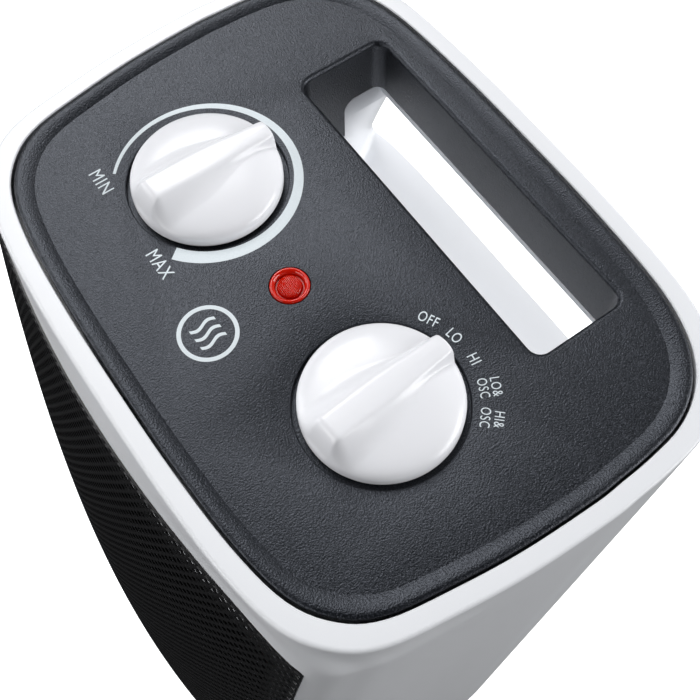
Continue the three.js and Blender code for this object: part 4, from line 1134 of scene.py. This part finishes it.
# Screen-printed white ink, matt, with a slight unevenness 0.5 mm wide.
white_ink, ink_shader = new_material("white_printing_ink", print_white, 0.55)
ink_places = add_node(white_ink, "ShaderNodeTexCoord")
ink_noise = add_node(white_ink, "ShaderNodeTexNoise", {"Scale": 2000, "Detail": 2},
                     {"Vector": ink_places.outputs["Object"]})
ink_tint = add_node(white_ink, "ShaderNodeMix", {6: colour("D6E0E6"), 7: colour(print_white)},
                    {0: ink_noise.outputs["Fac"]}, data_type="RGBA")
feed(ink_shader, {"Base Color": ink_tint.outputs[2]})
for piece in (thermostat_marks, function_marks, panel_sign):
    put_on(face_outwards(piece), white_ink)
    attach(piece, "tower")


# The round base is moulded in the casing's white ABS, with a rounded shoulder up
# to a raised deck, and stands on four rubber feet. A rubber sleeve in its back
# wall is where a mains lead would leave.
base_radius = 0.092
base_wall = 0.0025
base_under = 0.003
base_shoulder = 0.016
base_deck_radius = 0.079
deck_level = 0.030
pivot_hole = 0.0123
base_edge = 0.0006
gland_level = 0.0126
gland_hole = 0.0068
base_screw_reach = 0.069
base_post = 0.0045
base_post_foot = 0.0058
base_pilot_top = 0.0193
inner_pull = 0.6
shoulder_foot = Vector((base_radius, base_shoulder))
shoulder_pull = Vector((0.088, 0.0255))
shoulder_head = Vector((base_deck_radius, deck_level))

shoulder = [
    shoulder_foot * (1 - t) ** 2 + shoulder_pull * 2 * t * (1 - t) + shoulder_head * t**2
    for t in [k / 12 for k in range(13)]
]
outside = [(p.x, p.y) for p in shoulder]
inside = [(p.x - base_wall, p.y - base_wall * inner_pull) for p in shoulder]
base_profile = [
    (base_radius - base_wall, base_under), (base_radius - base_edge, base_under),
    (base_radius, base_under + base_edge), *outside,
    (pivot_hole, deck_level), (pivot_hole, deck_level - base_wall),
    (base_deck_radius - base_wall, deck_level - base_wall), *reversed(inside[:-1]),
]
base_shell = turned("base_shell", base_profile, (0, 0), 128, closed=True)
for k in (1, 5, 9):
    angle = k * math.pi / 6
    at = (base_screw_reach * math.cos(angle), base_screw_reach * math.sin(angle))
    post = turned(
        "post", [(base_post, z) for z in (base_post_foot, deck_level - base_wall / 2)], at, 32)
    pilot = turned("pilot", [(screw_shank_bore, z) for z in (0, base_pilot_top)], at, 16)
    combine(base_shell, "UNION", post)
    combine(base_shell, "DIFFERENCE", pilot)
combine(base_shell, "DIFFERENCE", rod_along_y(
    "gland_hole", gland_hole, base_radius - base_wall - cut_past, base_radius + cut_past,
    0, gland_level))
smooth(base_shell)
put_on(base_shell, white_abs)
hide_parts("base_housing")
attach(base_shell, "base")

foot_radius = 0.008
foot_height = 0.0027
foot_reach = 0.076
foot_round = 0.0006
rubber_black = "1B1B1C"
foot_bend = 0.3 * foot_round
foot_profile = [
    (foot_radius - foot_round, 0), (foot_radius - foot_bend, foot_bend),
    (foot_radius, foot_round), (foot_radius, foot_height - foot_round),
    (foot_radius - foot_bend, foot_height - foot_bend),
    (foot_radius - foot_round, foot_height),
]
rubber, rubber_shader = new_material("moulded_rubber", rubber_black, 0.8, {"IOR": 1.52})
grained(rubber, rubber_shader, 1500, 3, 0.3, 0.00008)
for number, k in enumerate((1, 3, 5, 7), start=1):
    at = (foot_reach * math.cos(k * math.pi / 4), foot_reach * math.sin(k * math.pi / 4))
    foot = smooth(turned(f"foot_{number}", foot_profile, at, 48), 50)
    put_on(foot, rubber)
    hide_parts(f"rubber_foot_{number}")
    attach(foot, "base")


# The other pieces keep their CAD shapes and get the finish of the real part.
# Metals are zinc plated, rolled, sintered or drawn, and the mouldings are ABS,
# nylon, rubber or phenolic resin. Each pattern's scale comes from its real width.
def patterned(name, code, tint, roughness, width, depth, stretch=(1, 1, 1), values=()):
    """A material with two close tints and a bump of one width, stretched where it was worked."""
    material, shader = new_material(name, code, roughness, values)
    noise = grained(material, shader, 1 / width, 3, 0.3, depth, stretch)
    mixed = add_node(material, "ShaderNodeMix", {6: colour(code), 7: colour(tint)},
                     {0: noise.outputs["Fac"]}, data_type="RGBA")
    feed(shader, {"Base Color": mixed.outputs[2]})
    return material


def metal(*finish):
    """A patterned material that is a metal all over."""
    return patterned(*finish, values={"Metallic": 1.0})


zinc_steel = metal("zinc_plated_steel", "B4B8BC", "9FA5AB", 0.32, 0.002, 0.00003)
rolled_steel = metal(
    "rolled_sheet_steel", "6A6E73", "54585D", 0.48, 0.0012, 0.00004, (1, 1, 0.1))
sintered_bronze = metal("sintered_bronze", "A9804E", "8A643A", 0.5, 0.0005, 0.00006)
wound_copper = metal(
    "enamelled_copper_wire", "A55A2C", "7C3F1D", 0.3, 0.0006, 0.00015, (0.05, 1, 1))
bare_aluminium = metal(
    "bare_aluminium_sheet", "C8CBCE", "B2B6BA", 0.3, 0.0008, 0.00003, (1, 0.15, 1))
heater_ceramic = patterned("fired_ceramic", "5A5550", "6E6862", 0.75, 0.0006, 0.00005)
brown_resin = patterned("phenolic_resin", "4A3226", "5B4032", 0.55, 0.0015, 0.00005)
white_nylon = patterned("natural_nylon", "E6E2D6", "DAD5C6", 0.5, 0.0012, 0.00004)
lamp_glass = patterned("lamp_glass", "F2B28A", "F5C09C", 0.05, 0.002, 0.00002,
                       values={"Transmission Weight": 0.7})

finishes = {
    zinc_steel: [
        *[f"base_screw_{k}" for k in (1, 2, 3)], *[f"casing_screw_{k}" for k in (1, 2, 3, 4)],
        "pivot_tube", "retaining_washer", "swing_crank", "thermostat_shaft", "switch_shaft",
        "rail_left", "rail_right", "fan_shaft", "motor_rotor", "motor_bracket_upper",
        "motor_bracket_lower", "motor_bolt_1", "motor_bolt_2", "thermal_cutout",
    ],
    rolled_steel: [
        "ballast_ring", "swing_motor", "duct_floor", "duct_ceiling", "duct_scroll", "duct_tongue",
        "motor_stator",
    ],
    sintered_bronze: ["upper_bearing"],
    wound_copper: ["motor_coil"],
    bare_aluminium: ["fin_stack_1", "fin_stack_2", "fin_stack_3"],
    heater_ceramic: ["ptc_bar_1", "ptc_bar_2"],
    brown_resin: ["thermostat_body", "element_frame", "tip_switch_body"],
    white_nylon: [
        "rotary_switch_body", "terminal_block", "tip_plunger", "glide_ring", "drive_fork"],
    black_abs: ["base_cover", "bottom_plate", "fan_drum"],
    rubber: ["cord_gland"],
    lamp_glass: ["neon_lamp"],
}
for material, nodes in finishes.items():
    for node in nodes:
        put_on(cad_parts[node], material)
